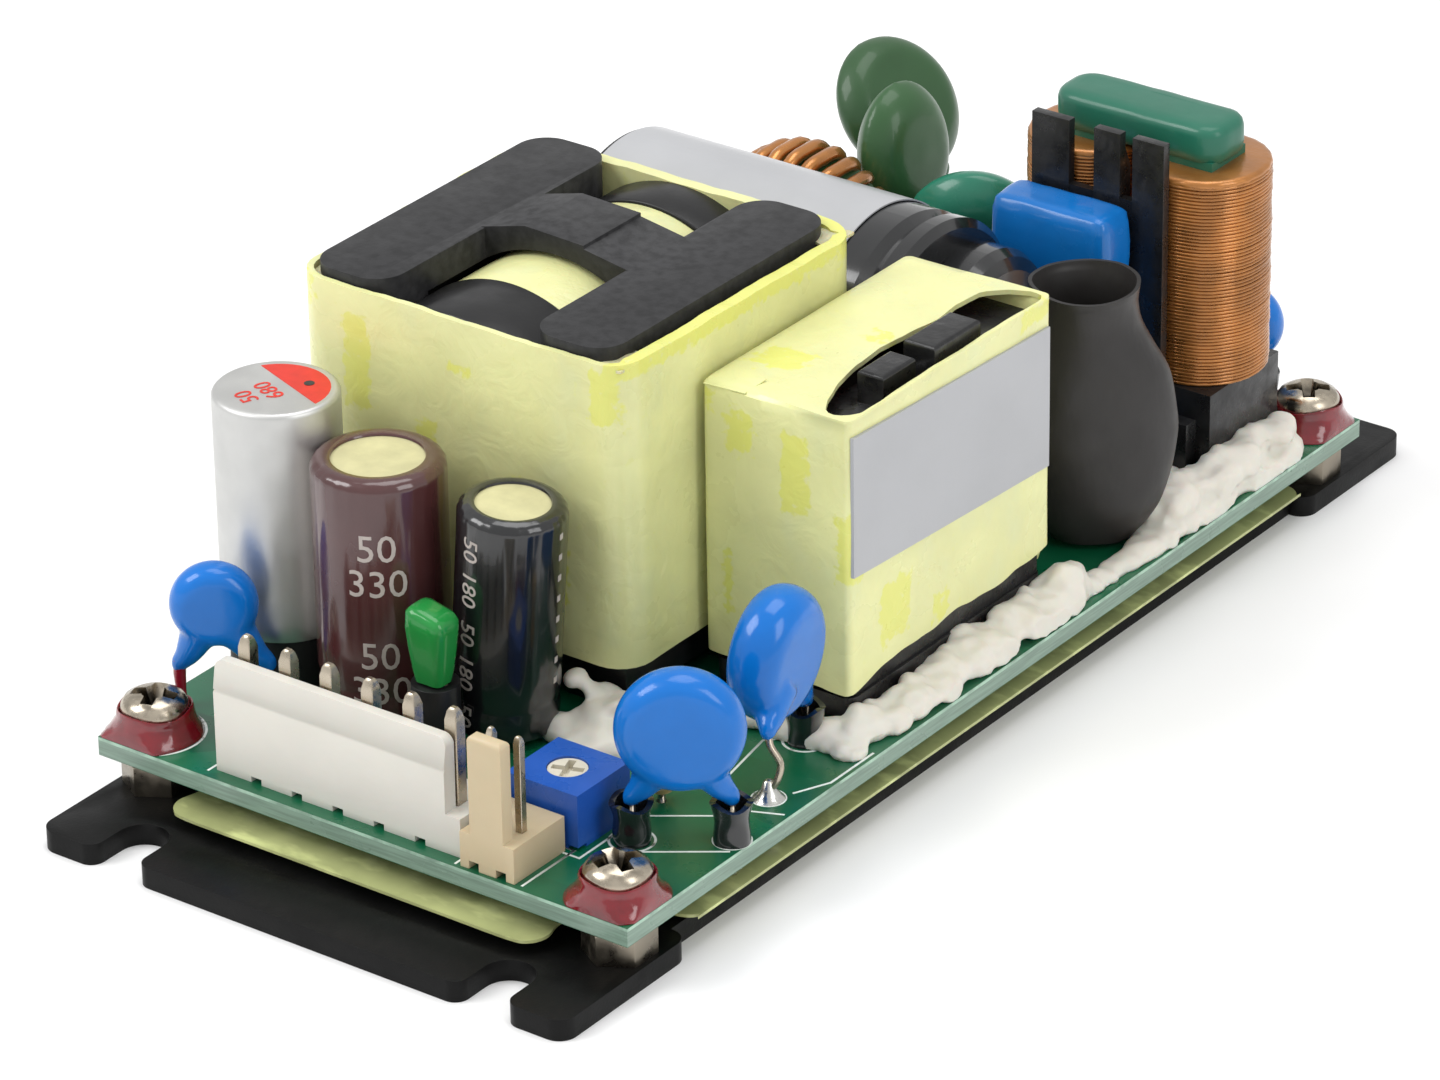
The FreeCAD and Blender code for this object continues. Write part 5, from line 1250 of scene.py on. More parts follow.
def extent(points):
    """Lowest and highest corner of some points."""
    return [[pick(p[i] for p in points) for i in range(3)] for pick in (min, max)]


def islands(bm):
    """The separate solids of a mesh, each as a list of vertices."""
    seen, found = set(), []
    for start in bm.verts:
        if start in seen:
            continue
        waiting, island = [start], []
        seen.add(start)
        while waiting:
            v = waiting.pop()
            island.append(v)
            for e in v.link_edges:
                other = e.other_vert(v)
                if other not in seen:
                    seen.add(other)
                    waiting.append(other)
        found.append(island)
    return found


class SUPPLY_OT_trimmer(bpy.types.Operator):
    """Blue trimmer case and its turning rotor"""
    bl_idname = "supply.trimmer"
    bl_label = "Trimmer"

    def execute(self, context):
        dress("trimmer_body", "trimmer_blue")
        dress("trimmer_rotor", "rotor_cream")
        return {"FINISHED"}


def figures(text, height, at, turn):
    """Plain numbers as thin raised solids, in metres, lying on the point at."""
    curve = bpy.data.curves.new("figures", "FONT")
    curve.body = text
    curve.size = height * MM * FONT_SIZE_PER_HEIGHT
    curve.align_x = "CENTER"
    curve.align_y = "CENTER"
    curve.extrude = FIGURE_THICKNESS * MM / 2
    curve.resolution_u = 3
    obj = new_object("figures", curve)
    mesh = plain_mesh(obj, "figures")
    bpy.data.objects.remove(obj)
    mesh.transform(Matrix.Translation(Vector(at) * MM)
                   @ Matrix.Rotation(radians(turn), 4, "Z"))
    return mesh


def wrapped(text, height, foot, axis, radius, angle, level, quarter=0):
    """Plain numbers bent round a cylinder at an angle and a height on it."""
    mesh = figures(text, height, (0, 0, 0), quarter)
    bm = bmesh.new()
    bm.from_mesh(mesh)
    for _ in range(2):
        bmesh.ops.subdivide_edges(bm, edges=[e for e in bm.edges
                                             if e.calc_length() > 0.35 * MM], cuts=2)
        bmesh.ops.triangulate(bm, faces=bm.faces[:])
    bm.to_mesh(mesh)
    bm.free()
    axis = Vector(axis).normalized()
    u = Vector((1, 0, 0)) - axis * axis.x
    u.normalize()
    v = axis.cross(u)
    for vert in mesh.vertices:
        x, y, z = (c / MM for c in vert.co)
        a = radians(angle) + x / radius
        at = (Vector(foot) + axis * (level + y)
              + (u * cos(a) + v * sin(a)) * (radius + 0.015 + z))
        vert.co = at * MM
    return mesh


def stripe(foot, axis, radius, angle, half, low, high):
    """A printed bar on a cylinder."""
    axis = Vector(axis).normalized()
    u = (Vector((1, 0, 0)) - axis * axis.x).normalized()
    v = axis.cross(u)

    def spot(across, up, r):
        a = radians(angle) + half * (2 * across - 1) / radius
        return (Vector(foot) + axis * (high if up else low)
                + (u * cos(a) + v * sin(a)) * r)
    return to_mesh(thin_sheet(bmesh.new(), spot, 6, 1, radius - 0.05, radius + 0.03),
                   "stripe", 30)


def marks_piece(name, meshes, finish_name, slot):
    """Printed marks joined into one piece."""
    bm = bmesh.new()
    for mesh in meshes:
        bm.from_mesh(mesh)
    bmesh.ops.remove_doubles(bm, verts=bm.verts, dist=1e-7)
    bmesh.ops.recalc_face_normals(bm, faces=bm.faces)
    out = bpy.data.meshes.new(name)
    bm.to_mesh(out)
    bm.free()
    shade(out, 30)
    add_piece(name, out, finish_name, slot)


class SUPPLY_OT_standing_capacitors(bpy.types.Operator):
    """The bare, brown and black standing capacitors"""
    bl_idname = "supply.standing_capacitors"
    bl_label = "Standing capacitors"

    def execute(self, context):
        self.bare_can()
        self.sleeved("brown_capacitor", "sleeve_brown", "brown_sleeve", 0.0, "50", "330")
        self.sleeved("black_capacitor", "sleeve_black", "black_sleeve", 4.5, "50", "180")
        return {"FINISHED"}

    def bare_can(self):
        low, high = span("polymer_capacitor_can")
        x, y = (low[0] + high[0]) / 2, (low[1] + high[1]) / 2
        r, z0, z1 = (high[0] - low[0]) / 2, low[2], high[2]
        bm = bmesh.new()
        lathe(bm, [(0, z0 + 0.3), (r * 0.7, z0 + 0.3), (r - 0.5, z0)]
              + [(r - 0.15, z0 + 0.15), (r, z0 + 0.5), (r, z0 + 1.6)]
              + [(r, z0 + (z1 - z0) * k / 8) for k in range(3, 8)]
              + arc(r - 0.45, z1 - 0.5, 0.45, 0, 90) + [(r - 0.9, z1 - 0.12), (0, z1 - 0.12)],
              (x, y, 0), steps=72)
        add_piece("bare_can", bm, "can_silver", "can_aluminium", "polymer_capacitor_can",
                  smooth=35)
        top = z1 - 0.12
        segment = [(x + px, y + py) for px, py in arc(0, 0, r - 0.75, -5, 145, 18)]
        bm = bmesh.new()
        slab(bm, segment, top, top + 0.03)
        meshes = [to_mesh(bm, "segment", 30),
                  figures("680", 1.45, (x - 0.2, y - 0.5, top + 0.02), 158),
                  figures("50", 1.45, (x - 0.9, y - 2.35, top + 0.02), 158)]
        marks_piece("can_marks", meshes, "print_red", "can_aluminium")
        bm = bmesh.new()
        lathe(bm, [(0, top + 0.02), (0.42, top + 0.02), (0.42, top + 0.06), (0, top + 0.06)],
              (x + 1.6, y + 2.1, 0), steps=20)
        add_piece("can_dot", bm, "print_black", "can_aluminium", smooth=30)
        dress("polymer_capacitor_seat", "rubber_black")

    def sleeved(self, node, sleeve_finish, slot, lean, *numbers):
        """A can in a shrunk sleeve whose lip rolls over the shoulder onto the seal."""
        low, high = span(node + "_sleeve")
        height = high[2] - low[2]
        turn = Matrix.Rotation(radians(lean), 3, "Y")
        axis = turn @ Vector((0, 0, 1))
        r = (high[1] - low[1]) / 2
        if lean:
            foot = Vector((low[0] + r, (low[1] + high[1]) / 2, low[2] + 0.3))
            height -= 2 * r * sin(radians(lean)) * 0.9
        else:
            foot = Vector(((low[0] + high[0]) / 2, (low[1] + high[1]) / 2, low[2]))
        lip = r * 0.7
        profile = ([(lip * 0.9, 0.0), (r - 0.7, 0.0)] + arc(r - 0.5, 0.5, 0.5, -90, 0)
                   + [(r, 1.9), (r - 0.14, 2.5), (r - 0.14, 2.9), (r, 3.5)]
                   + [(r, height * k / 10) for k in range(3, 9)]
                   + arc(r - 0.95, height - 1.0, 0.95, 0, 80, 7)
                   + [(lip + 0.35, height), (lip, height - 0.1), (lip - 0.06, height - 0.24),
                      (lip, height - 0.34), (r - 0.8, height - 0.6), (r - 0.8, 0.6),
                      (lip * 0.9, 0.5)])
        bm = bmesh.new()
        rings = []
        u = axis.orthogonal().normalized()
        v = axis.cross(u)
        for rad, h in profile:
            ring = []
            for a in angles(96):
                near = max(0.0, 1 - abs(h - (height - 0.7)) / 1.3)
                flute = 0.035 * near * sin(a * 26) * (rad > lip + 0.3)
                at = foot + axis * h + (u * cos(a) + v * sin(a)) * (rad + flute)
                ring.append(tuple(at))
            rings.append(ring)
        shell(bm, rings)
        add_piece(node + "_wrap", bm, sleeve_finish, slot, node + "_sleeve", smooth=45)
        bm = bmesh.new()
        disc = lip + 0.25
        lathe(bm, [(0, 0.4), (r - 0.9, 0.4), (r - 0.9, height - 0.7), (disc, height - 0.42),
                   (disc - 0.1, height - 0.3), (lip * 0.55, height - 0.34),
                   (0, height - 0.34)], foot, axis, 64)
        add_piece(node + "_body", bm, "seal_beige", "can_aluminium", node + "_can")
        if lean:
            meshes = [wrapped(text, 1.5, foot, axis, r, -101, height - drop, -90)
                      for text, drop in zip(numbers * 3, (2.9, 6.3, 10.2, 13.6, 17.4))]
            meshes += [stripe(foot, axis, r, 8, 0.22, height - k - 0.5, height - k)
                       for k in (1.6, 3.4, 5.2, 7.0, 8.8, 10.6, 12.4, 14.2)]
        else:
            meshes = [wrapped(text, 2.3, foot, axis, r, -55, height - drop)
                      for text, drop in zip(numbers * 2, (5.6, 8.6, 14.8, 17.8))]
            meshes += [stripe(foot, axis, r, -158, 1.1, 3.6, height - 1.1)]
        marks_piece(node + "_marks", meshes, "print_grey", slot)


class SUPPLY_OT_indicator(bpy.types.Operator):
    """Green indicator on its black spacer"""
    bl_idname = "supply.indicator"
    bl_label = "Indicator"

    def execute(self, context):
        low, high = span("status_led")
        x, y = middle("status_led")[:2]
        z1 = high[2] + 0.2
        rings = []
        for z, w, d, shift in ((low[2] + 0.2, 1.25, 1.0, 0.0), (low[2] + 1.2, 1.45, 1.15, 0),
                               (z1 - 3.2, 1.7, 1.35, 0.0), (z1 - 1.5, 1.85, 1.5, 0.0),
                               (z1 - 0.55, 1.8, 1.45, 0.05), (z1 - 0.15, 1.5, 1.2, 0.1),
                               (z1, 0.9, 0.8, 0.15)):
            ring = []
            for at, _ in walk_outline(-w, w, -d, d, min(w, d) * 0.55, 0.25):
                ring.append((x + at.x + shift, y + at.y, z - 0.22 * at.x * (z > z1 - 1)))
            rings.append(ring)
        count = min(len(r) for r in rings)
        rings = [[r[int(i * len(r) / count)] for i in range(count)] for r in rings]
        bm = stack(bmesh.new(), rings)
        add_piece("indicator_lens", bm, "led_green", "green_lens", "status_led", smooth=50)
        add_piece("indicator_spacer", softened("led_spacer", 0.15), "moulding_black",
                  "black_moulding", "led_spacer")
        return {"FINISHED"}


# Dipped discs: middle above the board, way of the face in plan, width, thickness, lean to
# the side, feet on the board and the height where the coat ends on each leg
DIPPED = {
    "y_capacitor_left": ((-20.6, -42.0, 9.2), (0.8, 0.6), 7.0, 3.2, 0,
                         [(-23.2, -43.4, 3.2), (-17.4, -39.7, 3.4)]),
    "y_capacitor_front": ((20.95, -38.05, 9.5), (0.81, 0.57), 10.0, 3.8, 0,
                          [(17.9, -40.2, 3.1), (24.0, -35.9, 3.1)]),
    "y_capacitor_rear": ((20.3, -25.0, 9.9), (-0.1, 0.99), 10.0, 4.5, 6,
                         [(22.5, -29.2, 5.2), (19.6, -20.4, 3.1)]),
    "y_capacitor_far": ((15.7, 47.7, 7.6), (0.95, 0.3), 7.0, 3.2, 0,
                        [(12.4, 46.7, 3.6), (17.2, 48.3, 3.1)]),
    "surge_absorber": ((-18.5, 46.6, 19.0), (0.21, 0.98), 12.2, 4.2, -38,
                       [(-16.4, 43.8, 12.5), (-15.6, 49.0, 12.5)]),
    "small_green_disc": ((-12.9, 39.35, 18.9), (0.09, 0.99), 10.2, 5.0, -10,
                         [(-12.2, 37.0, 12.4), (-12.4, 41.2, 12.4)]),
    "teal_disc": ((-4.6, 38.2, 14.5), (0.9, 0.43), 12.0, 5.0, 18,
                  [(-6.6, 36.7, 7.4), (-1.6, 39.1, 7.4)]),
}
# How much taller a disc is than wide, and how far its faces swell in the middle
STRETCH = {"y_capacitor_rear": 0.1, "small_green_disc": 0.22, "surge_absorber": 0.06}
BULGE = {"small_green_disc": 0.25, "surge_absorber": 0.15, "teal_disc": 0.2}


def dipped(name):
    """Disc, webs and coated legs run together as one dip of lacquer."""
    centre, along, width, thick, lean, feet = DIPPED[name]
    middle_at = Vector(centre) + Vector((0, 0, BOARD_TOP))
    along = Vector((*along, 0)).normalized()
    across = along.cross(Vector((0, 0, 1)))
    tilt = Matrix.Rotation(radians(lean), 3, along)
    face = tilt @ across
    r = width / 2
    bm = bmesh.new()
    half = thick / 2
    rim = half * 0.78
    bulge = BULGE.get(name, 0.0)
    profile = [(0, -half)] + [((r - rim) * (1 - bulge * abs(cos(a))) + rim * sin(a),
                               -half * (1 - 0.25 * bulge * abs(cos(a))) * cos(a))
                              for a in (pi * k / 16 for k in range(17))] + [(0, half)]
    lathe(bm, profile, middle_at, face, 48)
    for v in bm.verts:
        v.co.z += (v.co.z - middle_at.z) * STRETCH.get(name, 0.0)
    for x, y, end in feet:
        foot = Vector((x, y, BOARD_TOP + end))
        root = middle_at.lerp(foot, 0.42)
        path = smooth_path([root, root.lerp(foot, 0.6) + Vector((0, 0, 0.1)),
                            foot + Vector((0, 0, 0.7)), foot], 5)
        n = len(path) - 1
        radii = [half * 0.62 * (1 - k / n) ** 2 + 0.6 for k in range(n + 1)]
        tube(bm, path, radii, 14)
    return melted(bm, name + "_coat", 0.26, 8)


class SUPPLY_OT_disc_capacitors(bpy.types.Operator):
    """Blue disc capacitors and the black sleeves on their legs"""
    bl_idname = "supply.disc_capacitors"
    bl_label = "Disc capacitors"

    def execute(self, context):
        for node in ("y_capacitor_left", "y_capacitor_front", "y_capacitor_rear",
                     "y_capacitor_far"):
            add_piece(node + "_coat", dipped(node), "epoxy_blue", "blue_epoxy", node)
        self.sleeves()
        self.wires()
        self.lacquer()
        return {"FINISHED"}

    def wires(self):
        """All bare wires, the one at the rear disc's near leg bent in an S."""
        bm = node_copy("component_leads")
        for island in islands(bm):
            x, y = (sum(v.co[i] for v in island) / len(island) for i in (0, 1))
            if abs(x - 22.3) < 0.6 and abs(y + 29.0) < 0.7:
                bmesh.ops.delete(bm, geom=island, context="VERTS")
        path = smooth_path([(21.6, -27.9, BOARD_TOP + 5.6), (22.3, -28.7, BOARD_TOP + 4.3),
                            (23.2, -28.6, BOARD_TOP + 2.9), (23.1, -29.0, BOARD_TOP + 1.5),
                            (22.5, -29.2, BOARD_TOP + 0.4), (22.5, -29.2, BOARD_TOP - 2.5)],
                           5)
        tube(bm, path, 0.3, 12)
        add_piece("wires", bm, "pin_metal", "tinned_wire", "component_leads", smooth=35)

    def sleeves(self):
        """Short lengths of tube, flared and a little crushed at the top."""
        bm = bmesh.new()
        for i, (x, y, lean) in enumerate(((17.9, -40.2, (0, 0)), (24.0, -35.9, (0, 0)),
                                          (19.6, -20.4, (0.3, -0.5)), (17.2, 48.3, (0, 0)))):
            outer, inner = [], []
            for k in range(9):
                t = k / 8
                flare = 1.0 + 0.18 * t ** 4 + 0.05 * sin(t * 7 + i)
                for rings, r in ((outer, 1.4 * flare), (inner, 1.02 * flare)):
                    rings.append([(x + lean[0] * t + r * (1 + 0.06 * cos(2 * a + i))
                                   * cos(a),
                                   y + lean[1] * t + r * (1 - 0.06 * cos(2 * a + i))
                                   * sin(a),
                                   BOARD_TOP + 0.02 + t * (3.3 + 0.25 * sin(3 * a + i)))
                                  for a in angles(28)])
            shell(bm, outer + inner[::-1])
        lathe(bm, [(0, 0.02), (1.05, 0.02), (1.1, 0.3), (1.05, 0.85), (0.85, 0.95),
                   (0.7, 0.6), (0, 0.5)], (20.9, -19.3, BOARD_TOP), steps=28)
        add_piece("leg_sleeves", bm, "sleeve_black", "black_rubber", "lead_sleeves", smooth=50)

    def lacquer(self):
        """Red lacquer run down one leg, and solder round the bare rear leg."""
        bm = bmesh.new()
        x, y = LACQUERED_LEG
        path = smooth_path([(x + 0.1, y, BOARD_TOP + 4.2), (x - 0.05, y, BOARD_TOP + 3.0),
                            (x, y, BOARD_TOP + 1.6), (x, y, BOARD_TOP + 0.1)], 4)
        tube(bm, path, [0.62, 0.6, 0.55, 0.5, 0.5, 0.48, 0.46, 0.44, 0.42, 0.42, 0.45, 0.5,
                        0.6][:len(path)], 12)
        add_piece("leg_lacquer", bm, "red_lacquer", "blue_epoxy", smooth=60)
        bm = bmesh.new()
        lathe(bm, [(0, 1.6), (0.36, 1.5), (0.55, 0.9), (0.95, 0.35), (1.3, 0.02), (0, 0.02)],
              (*REAR_LEG, BOARD_TOP), steps=24)
        add_piece("solder_blob", ruffled(bm, 0.7, 0.05), "solder", "tinned_wire", smooth=60)


def tape_rings(low, high, radius, thick, top, push):
    """Rings of a tape wall, up its outside and down its inside."""
    walk = walk_outline(low[0], high[0], low[1], high[1], radius, 0.6)
    count = round((high[2] - low[2]) / 0.8)

    def ring(inset, level):
        points = []
        for at, out in walk:
            z = low[2] + (top(at.x, at.y) - low[2]) * level
            spot = at - out * (inset(at.x, at.y) if inset else 0.0)
            spot = spot + out * push(at.x, at.y, z)
            points.append((spot.x, spot.y, z))
        return points
    levels = [k / count for k in range(count + 1)]
    return ([ring(None, v) for v in levels]
            + [ring(thick, v) for v in reversed(levels)])


def edge_marked(bm, mesh_name, smooth):
    """A mesh whose points near a rounded edge carry the value read as wear."""
    mesh = to_mesh(bm, mesh_name, smooth)
    flat = [0.0] * len(mesh.vertices)
    turned = {}
    for poly in mesh.polygons:
        for v in poly.vertices:
            turned.setdefault(v, []).append((poly.area, poly.normal.copy()))
    for v, found in turned.items():
        big = max(found, key=lambda item: item[0])[1]
        flat[v] = min(1.0, max(big.angle(n, 0.0) for _, n in found) / 0.5)
    mark(mesh, "edge", flat)
    return mesh


class SUPPLY_OT_transformer(bpy.types.Operator):
    """Taped transformer with its ferrite, bobbin and pin base"""
    bl_idname = "supply.transformer"
    bl_label = "Transformer"

    def execute(self, context):
        ease = sizes().edge / MM
        add_piece("transformer_wrap", self.wrap(), "tape_yellow", "yellow_tape",
                  "transformer_tape")
        add_piece("transformer_folds", self.folds(), "tape_folded", "yellow_tape")
        add_piece("transformer_coil", softened("transformer_winding", ease), "tape_yellow",
                  "yellow_tape", "transformer_winding", smooth=35)
        add_piece("transformer_ferrite",
                  edge_marked(softened("transformer_core", ease * 1.2, 3),
                              "transformer_ferrite", 35),
                  "ferrite_grey", "ferrite", "transformer_core")
        for name, node, share in (("transformer_drum", "transformer_bobbin", 0.8),
                                  ("transformer_base", "transformer_pin_base", 1.0)):
            add_piece(name, softened(node, ease * share), "moulding_black", "black_moulding",
                      node, smooth=35)
        return {"FINISHED"}

    def wrap(self):
        low, high = span("transformer_tape")

        def top(x, y):
            return high[2] - 0.22 + 0.2 * wave(x, y, 0, 5) + 0.1 * wave(x, y, 3, 1.4)

        def push(x, y, z):
            return -0.16 + 0.13 * wave(x, y, z, 9) + 0.05 * wave(x, y, z * 0.3, 2.6)

        def thick(x, y):
            return 0.45 + (0.65 if x > high[0] - 0.5 or y > high[1] - 0.5 else 0.1)
        bm = shell(bmesh.new(), tape_rings(low, high, 3.0, thick, top, push))
        mesh = to_mesh(bm, "transformer_wrap", 50)
        mark_boxes(mesh, "bright", [(low[0] + a, low[0] + b, low[1] - 1, low[1] + 1,
                                     high[2] - c, high[2] - d) for a, b, c, d in TX_PATCHES]
                   + [(high[0] - 2, high[0] + 1, low[1], high[1] + 1, high[2] - 1.3,
                       high[2] + 1), (high[0] - 6, high[0] + 1, high[1] - 3, high[1] + 1,
                                      high[2] - 2.0, high[2] + 1)])
        return mesh

    def folds(self):
        """Crumpled tape ends in the corners beside the ferrite's rounded pads."""
        low, high = span("transformer_tape")
        z = high[2] - 0.75
        bm = bmesh.new()
        for x0, x1, y0, y1, tilt in (
                (high[0] - 6.6, high[0] - 0.8, low[1] + 0.8, low[1] + 4.6, 0.01),
                (low[0] + 1.0, low[0] + 4.2, low[1] + 1.0, low[1] + 3.4, 0.0),
                (high[0] - 4.5, high[0] - 0.6, high[1] - 3.4, high[1] - 0.5, 0.0),
                (low[0] + 0.5, low[0] + 5.0, high[1] - 3.0, high[1] - 0.5, 0.0)):
            def spot(u, v, lift):
                x, y = x0 + (x1 - x0) * u, y0 + (y1 - y0) * v
                return x, y, z + lift + tilt * (x0 - x) + 0.3 * wave(x, y, z, 1.3)
            thin_sheet(bm, spot, 9, 9, 0.0, 0.22)
        return to_mesh(bm, "transformer_folds", 60)


TX_PATCHES = [(5.0, 7.6, 10.5, 2.4), (28.9, 31.5, 5.6, 0.8), (0.4, 2.2, 3.2, 0.0),
              (12.0, 14.0, 16.0, 9.5), (21.0, 22.4, 19.0, 12.0), (15.4, 18.0, 4.8, 3.9),
              (24.5, 26.4, 22.0, 15.0), (1.0, 2.6, 19.0, 11.0)]


class SUPPLY_OT_choke(bpy.types.Operator):
    """Taped choke with its open top, wire posts and bare label"""
    bl_idname = "supply.choke"
    bl_label = "Choke"

    def execute(self, context):
        ease = sizes().edge / MM
        add_piece("choke_wrap", self.wrap(), "tape_yellow", "yellow_tape", "choke_tape")
        add_piece("choke_moulding", ruffled(softened("choke_bobbin", ease * 1.4, 2), 1.2, 0.05),
                  "moulding_gloss", "black_moulding", "choke_bobbin", smooth=50)
        dress("choke_core", "ferrite_grey")
        dress("choke_winding", "tape_yellow")
        add_piece("choke_sticker", self.label(), "label_grey", "grey_label", "choke_label")
        return {"FINISHED"}

    def wrap(self):
        """Wall, top and the ragged edge of its opening, as one folded sheet."""
        low, high = span("choke_tape")
        thick = sizes().tape_thickness / MM
        walk = walk_outline(low[0], high[0], low[1], high[1], 0.75, 0.55)
        heart = Vector(CHOKE_OPENING_HEART)
        mouth = [ray_hit(heart, at, CHOKE_OPENING) for at, _ in walk]

        def foot(x, y):
            wavy = 0.5 * wave(x, y, 0, 6) + 0.25 * wave(x, y, 1, 2.0)
            rise = 1.1 * min(1.0, max(0.0, (y - low[1]) / 5)) + 0.6 * max(0.0, (y - 2) / 8)
            rise *= x > high[0] - 1
            return low[2] + 0.5 + wavy * 0.8 + rise

        def push(x, y, z):
            return -0.12 + 0.1 * wave(x, y, z, 8, 3.1) + 0.04 * wave(x, y, z * 0.4, 2.4)

        def crown(at, hit, share):
            x, y = at.lerp(hit, share)
            soft = 0.14 * wave(x, y, 0, 4.5, 1.7) + 0.05 * wave(x, y, 0, 1.6)
            return x, y, high[2] - 0.12 + soft * min(1.0, share * 4)
        count = 28
        outer, inner = [], []
        for k in range(count + 1):
            level = k / count
            for rings, inset in ((outer, 0.0), (inner, thick)):
                ring = []
                for at, out in walk:
                    base = foot(at.x, at.y)
                    z = base + (high[2] - 0.45 - inset - base) * level
                    spot = at + out * (push(at.x, at.y, z) - inset)
                    ring.append((spot.x, spot.y, z))
                rings.append(ring)
        over, under = [], []
        for share in (0.012, 0.04, 0.12, 0.25, 0.4, 0.55, 0.7, 0.85, 1.0):
            for rings, drop in ((over, 0.0), (under, thick)):
                ring = []
                for (at, out), hit in zip(walk, mouth):
                    edge = at - out * (0.1 + drop)
                    x, y, z = crown(edge, hit, share)
                    ring.append((x, y, z - drop - (0.25 if share == 0.012 else 0.0)))
                rings.append(ring)
        bm = shell(bmesh.new(), outer + over + under[::-1] + inner[::-1])
        for corners in CHOKE_FOLDS:
            patch(bm, corners, 0.08)
        mesh = to_mesh(bm, "choke_wrap", 50)
        mark_boxes(mesh, "bright", CHOKE_PATCHES)
        return mesh

    def label(self):
        """A bare sticker set a little askew on the side."""
        side = span("choke_tape")[1][0]
        (y0, z0), (y1, z1), (_, z2), (_, z3) = CHOKE_LABEL

        def spot(u, v, lift):
            y = y0 + (y1 - y0) * u
            z = (1 - u) * ((1 - v) * z0 + v * z3) + u * ((1 - v) * z1 + v * z2)
            return side + lift + 0.03 * wave(side, y, z, 6), y, z
        return to_mesh(thin_sheet(bmesh.new(), spot, 14, 6, -0.2, 0.1), "choke_sticker", 60)


def thin_sheet(bm, spot, across, along, *lifts):
    """A closed sheet through the points spot(u, v, lift), with u and v from 0 to 1."""
    sheet_faces(bm, *[[[bm.verts.new(spot(i / across, j / along, lift))
                        for j in range(along + 1)] for i in range(across + 1)]
                      for lift in lifts])
    return bm


def sheet_faces(bm, under, over):
    """Closes two matching grids of points into one thin sheet."""
    n, m = len(under) - 1, len(under[0]) - 1
    for i in range(n):
        for j in range(m):
            bm.faces.new((under[i][j], under[i][j + 1], under[i + 1][j + 1], under[i + 1][j]))
            bm.faces.new((over[i][j], over[i + 1][j], over[i + 1][j + 1], over[i][j + 1]))
    rim = ([(i, 0) for i in range(n)] + [(n, j) for j in range(m)]
           + [(i, m) for i in range(n, 0, -1)] + [(0, j) for j in range(m, 0, -1)])
    for (a, b), (c, d) in zip(rim, rim[1:] + rim[:1]):
        bm.faces.new((under[a][b], under[c][d], over[c][d], over[a][b]))


def patch(bm, corners, thick):
    """A flat scrap of tape with the given corners, thickened along its normal."""
    pts = [Vector(c) for c in corners]
    up = (pts[1] - pts[0]).cross(pts[2] - pts[0]).normalized() * thick
    stack(bm, [pts, [q + up for q in pts]])


def ray_hit(heart, toward, outline):
    """Where the line from the heart towards a point crosses the outline."""
    way = toward - heart
    best = None
    for a, b in zip(outline, outline[1:] + outline[:1]):
        a, b = Vector(a), Vector(b)
        side = b - a
        cross = way.x * side.y - way.y * side.x
        if abs(cross) < 1e-9:
            continue
        gap = a - heart
        t = (gap.x * side.y - gap.y * side.x) / cross
        u = (gap.x * way.y - gap.y * way.x) / cross
        if t > 0 and -1e-6 <= u <= 1 + 1e-6 and (best is None or t < best):
            best = t
    return heart + way * min(best, 0.985)


CHOKE_LABEL = ((-17.2, 19.5), (9.3, 18.1), (9.3, 30.2), (-17.2, 31.3))
CHOKE_OPENING_HEART = (19.4, -3.8)
CHOKE_OPENING = [(21.45, -15.4), (21.45, 8.8), (21.0, 9.5), (20.0, 9.4), (18.4, 8.6),
                 (17.0, 7.0), (16.6, 4.0), (16.9, 1.2), (16.4, -2.0), (16.2, -5.5),
                 (16.5, -9.0), (17.2, -12.5), (18.2, -15.2), (19.2, -16.9), (20.2, -17.0),
                 (20.9, -16.4)]
CHOKE_PATCHES = [(10.3, 12.9, -18, -17, 27.5, 30.8), (15.4, 18.0, -18, -17, 23.8, 30.2),
                 (9.9, 10.7, -18, -17, 12.8, 18.8), (20.6, 22.2, -18, -15.6, 18.8, 24.8),
                 (9.0, 13.2, -13, -9.5, 32, 34), (14.0, 16.2, -5, -2.6, 32, 34),
                 (21, 22.5, 5.5, 9.6, 31, 32.6), (21, 22.5, -13.5, -9.6, 12, 17),
                 (21, 22.5, -6.5, -4.2, 11, 13), (8.2, 9.2, -18, -17, 30.5, 32)]
CHOKE_FOLDS = [[(8.3, -17.55, 32.3), (12.2, -17.55, 32.5), (12.4, -15.0, 32.72),
                (9.4, -16.4, 32.7)]]


class SUPPLY_OT_bulk_capacitor(bpy.types.Operator):
    """Large capacitor that lies across the board, with its label and end"""
    bl_idname = "supply.bulk_capacitor"
    bl_label = "Bulk capacitor"

    def execute(self, context):
        dress("bulk_capacitor_can", "can_silver")
        dress("bulk_capacitor_sleeve", "sleeve_black")
        dress("bulk_capacitor_plug", "sleeve_black")
        dress("bulk_capacitor_label", "label_bulk")
        return {"FINISHED"}


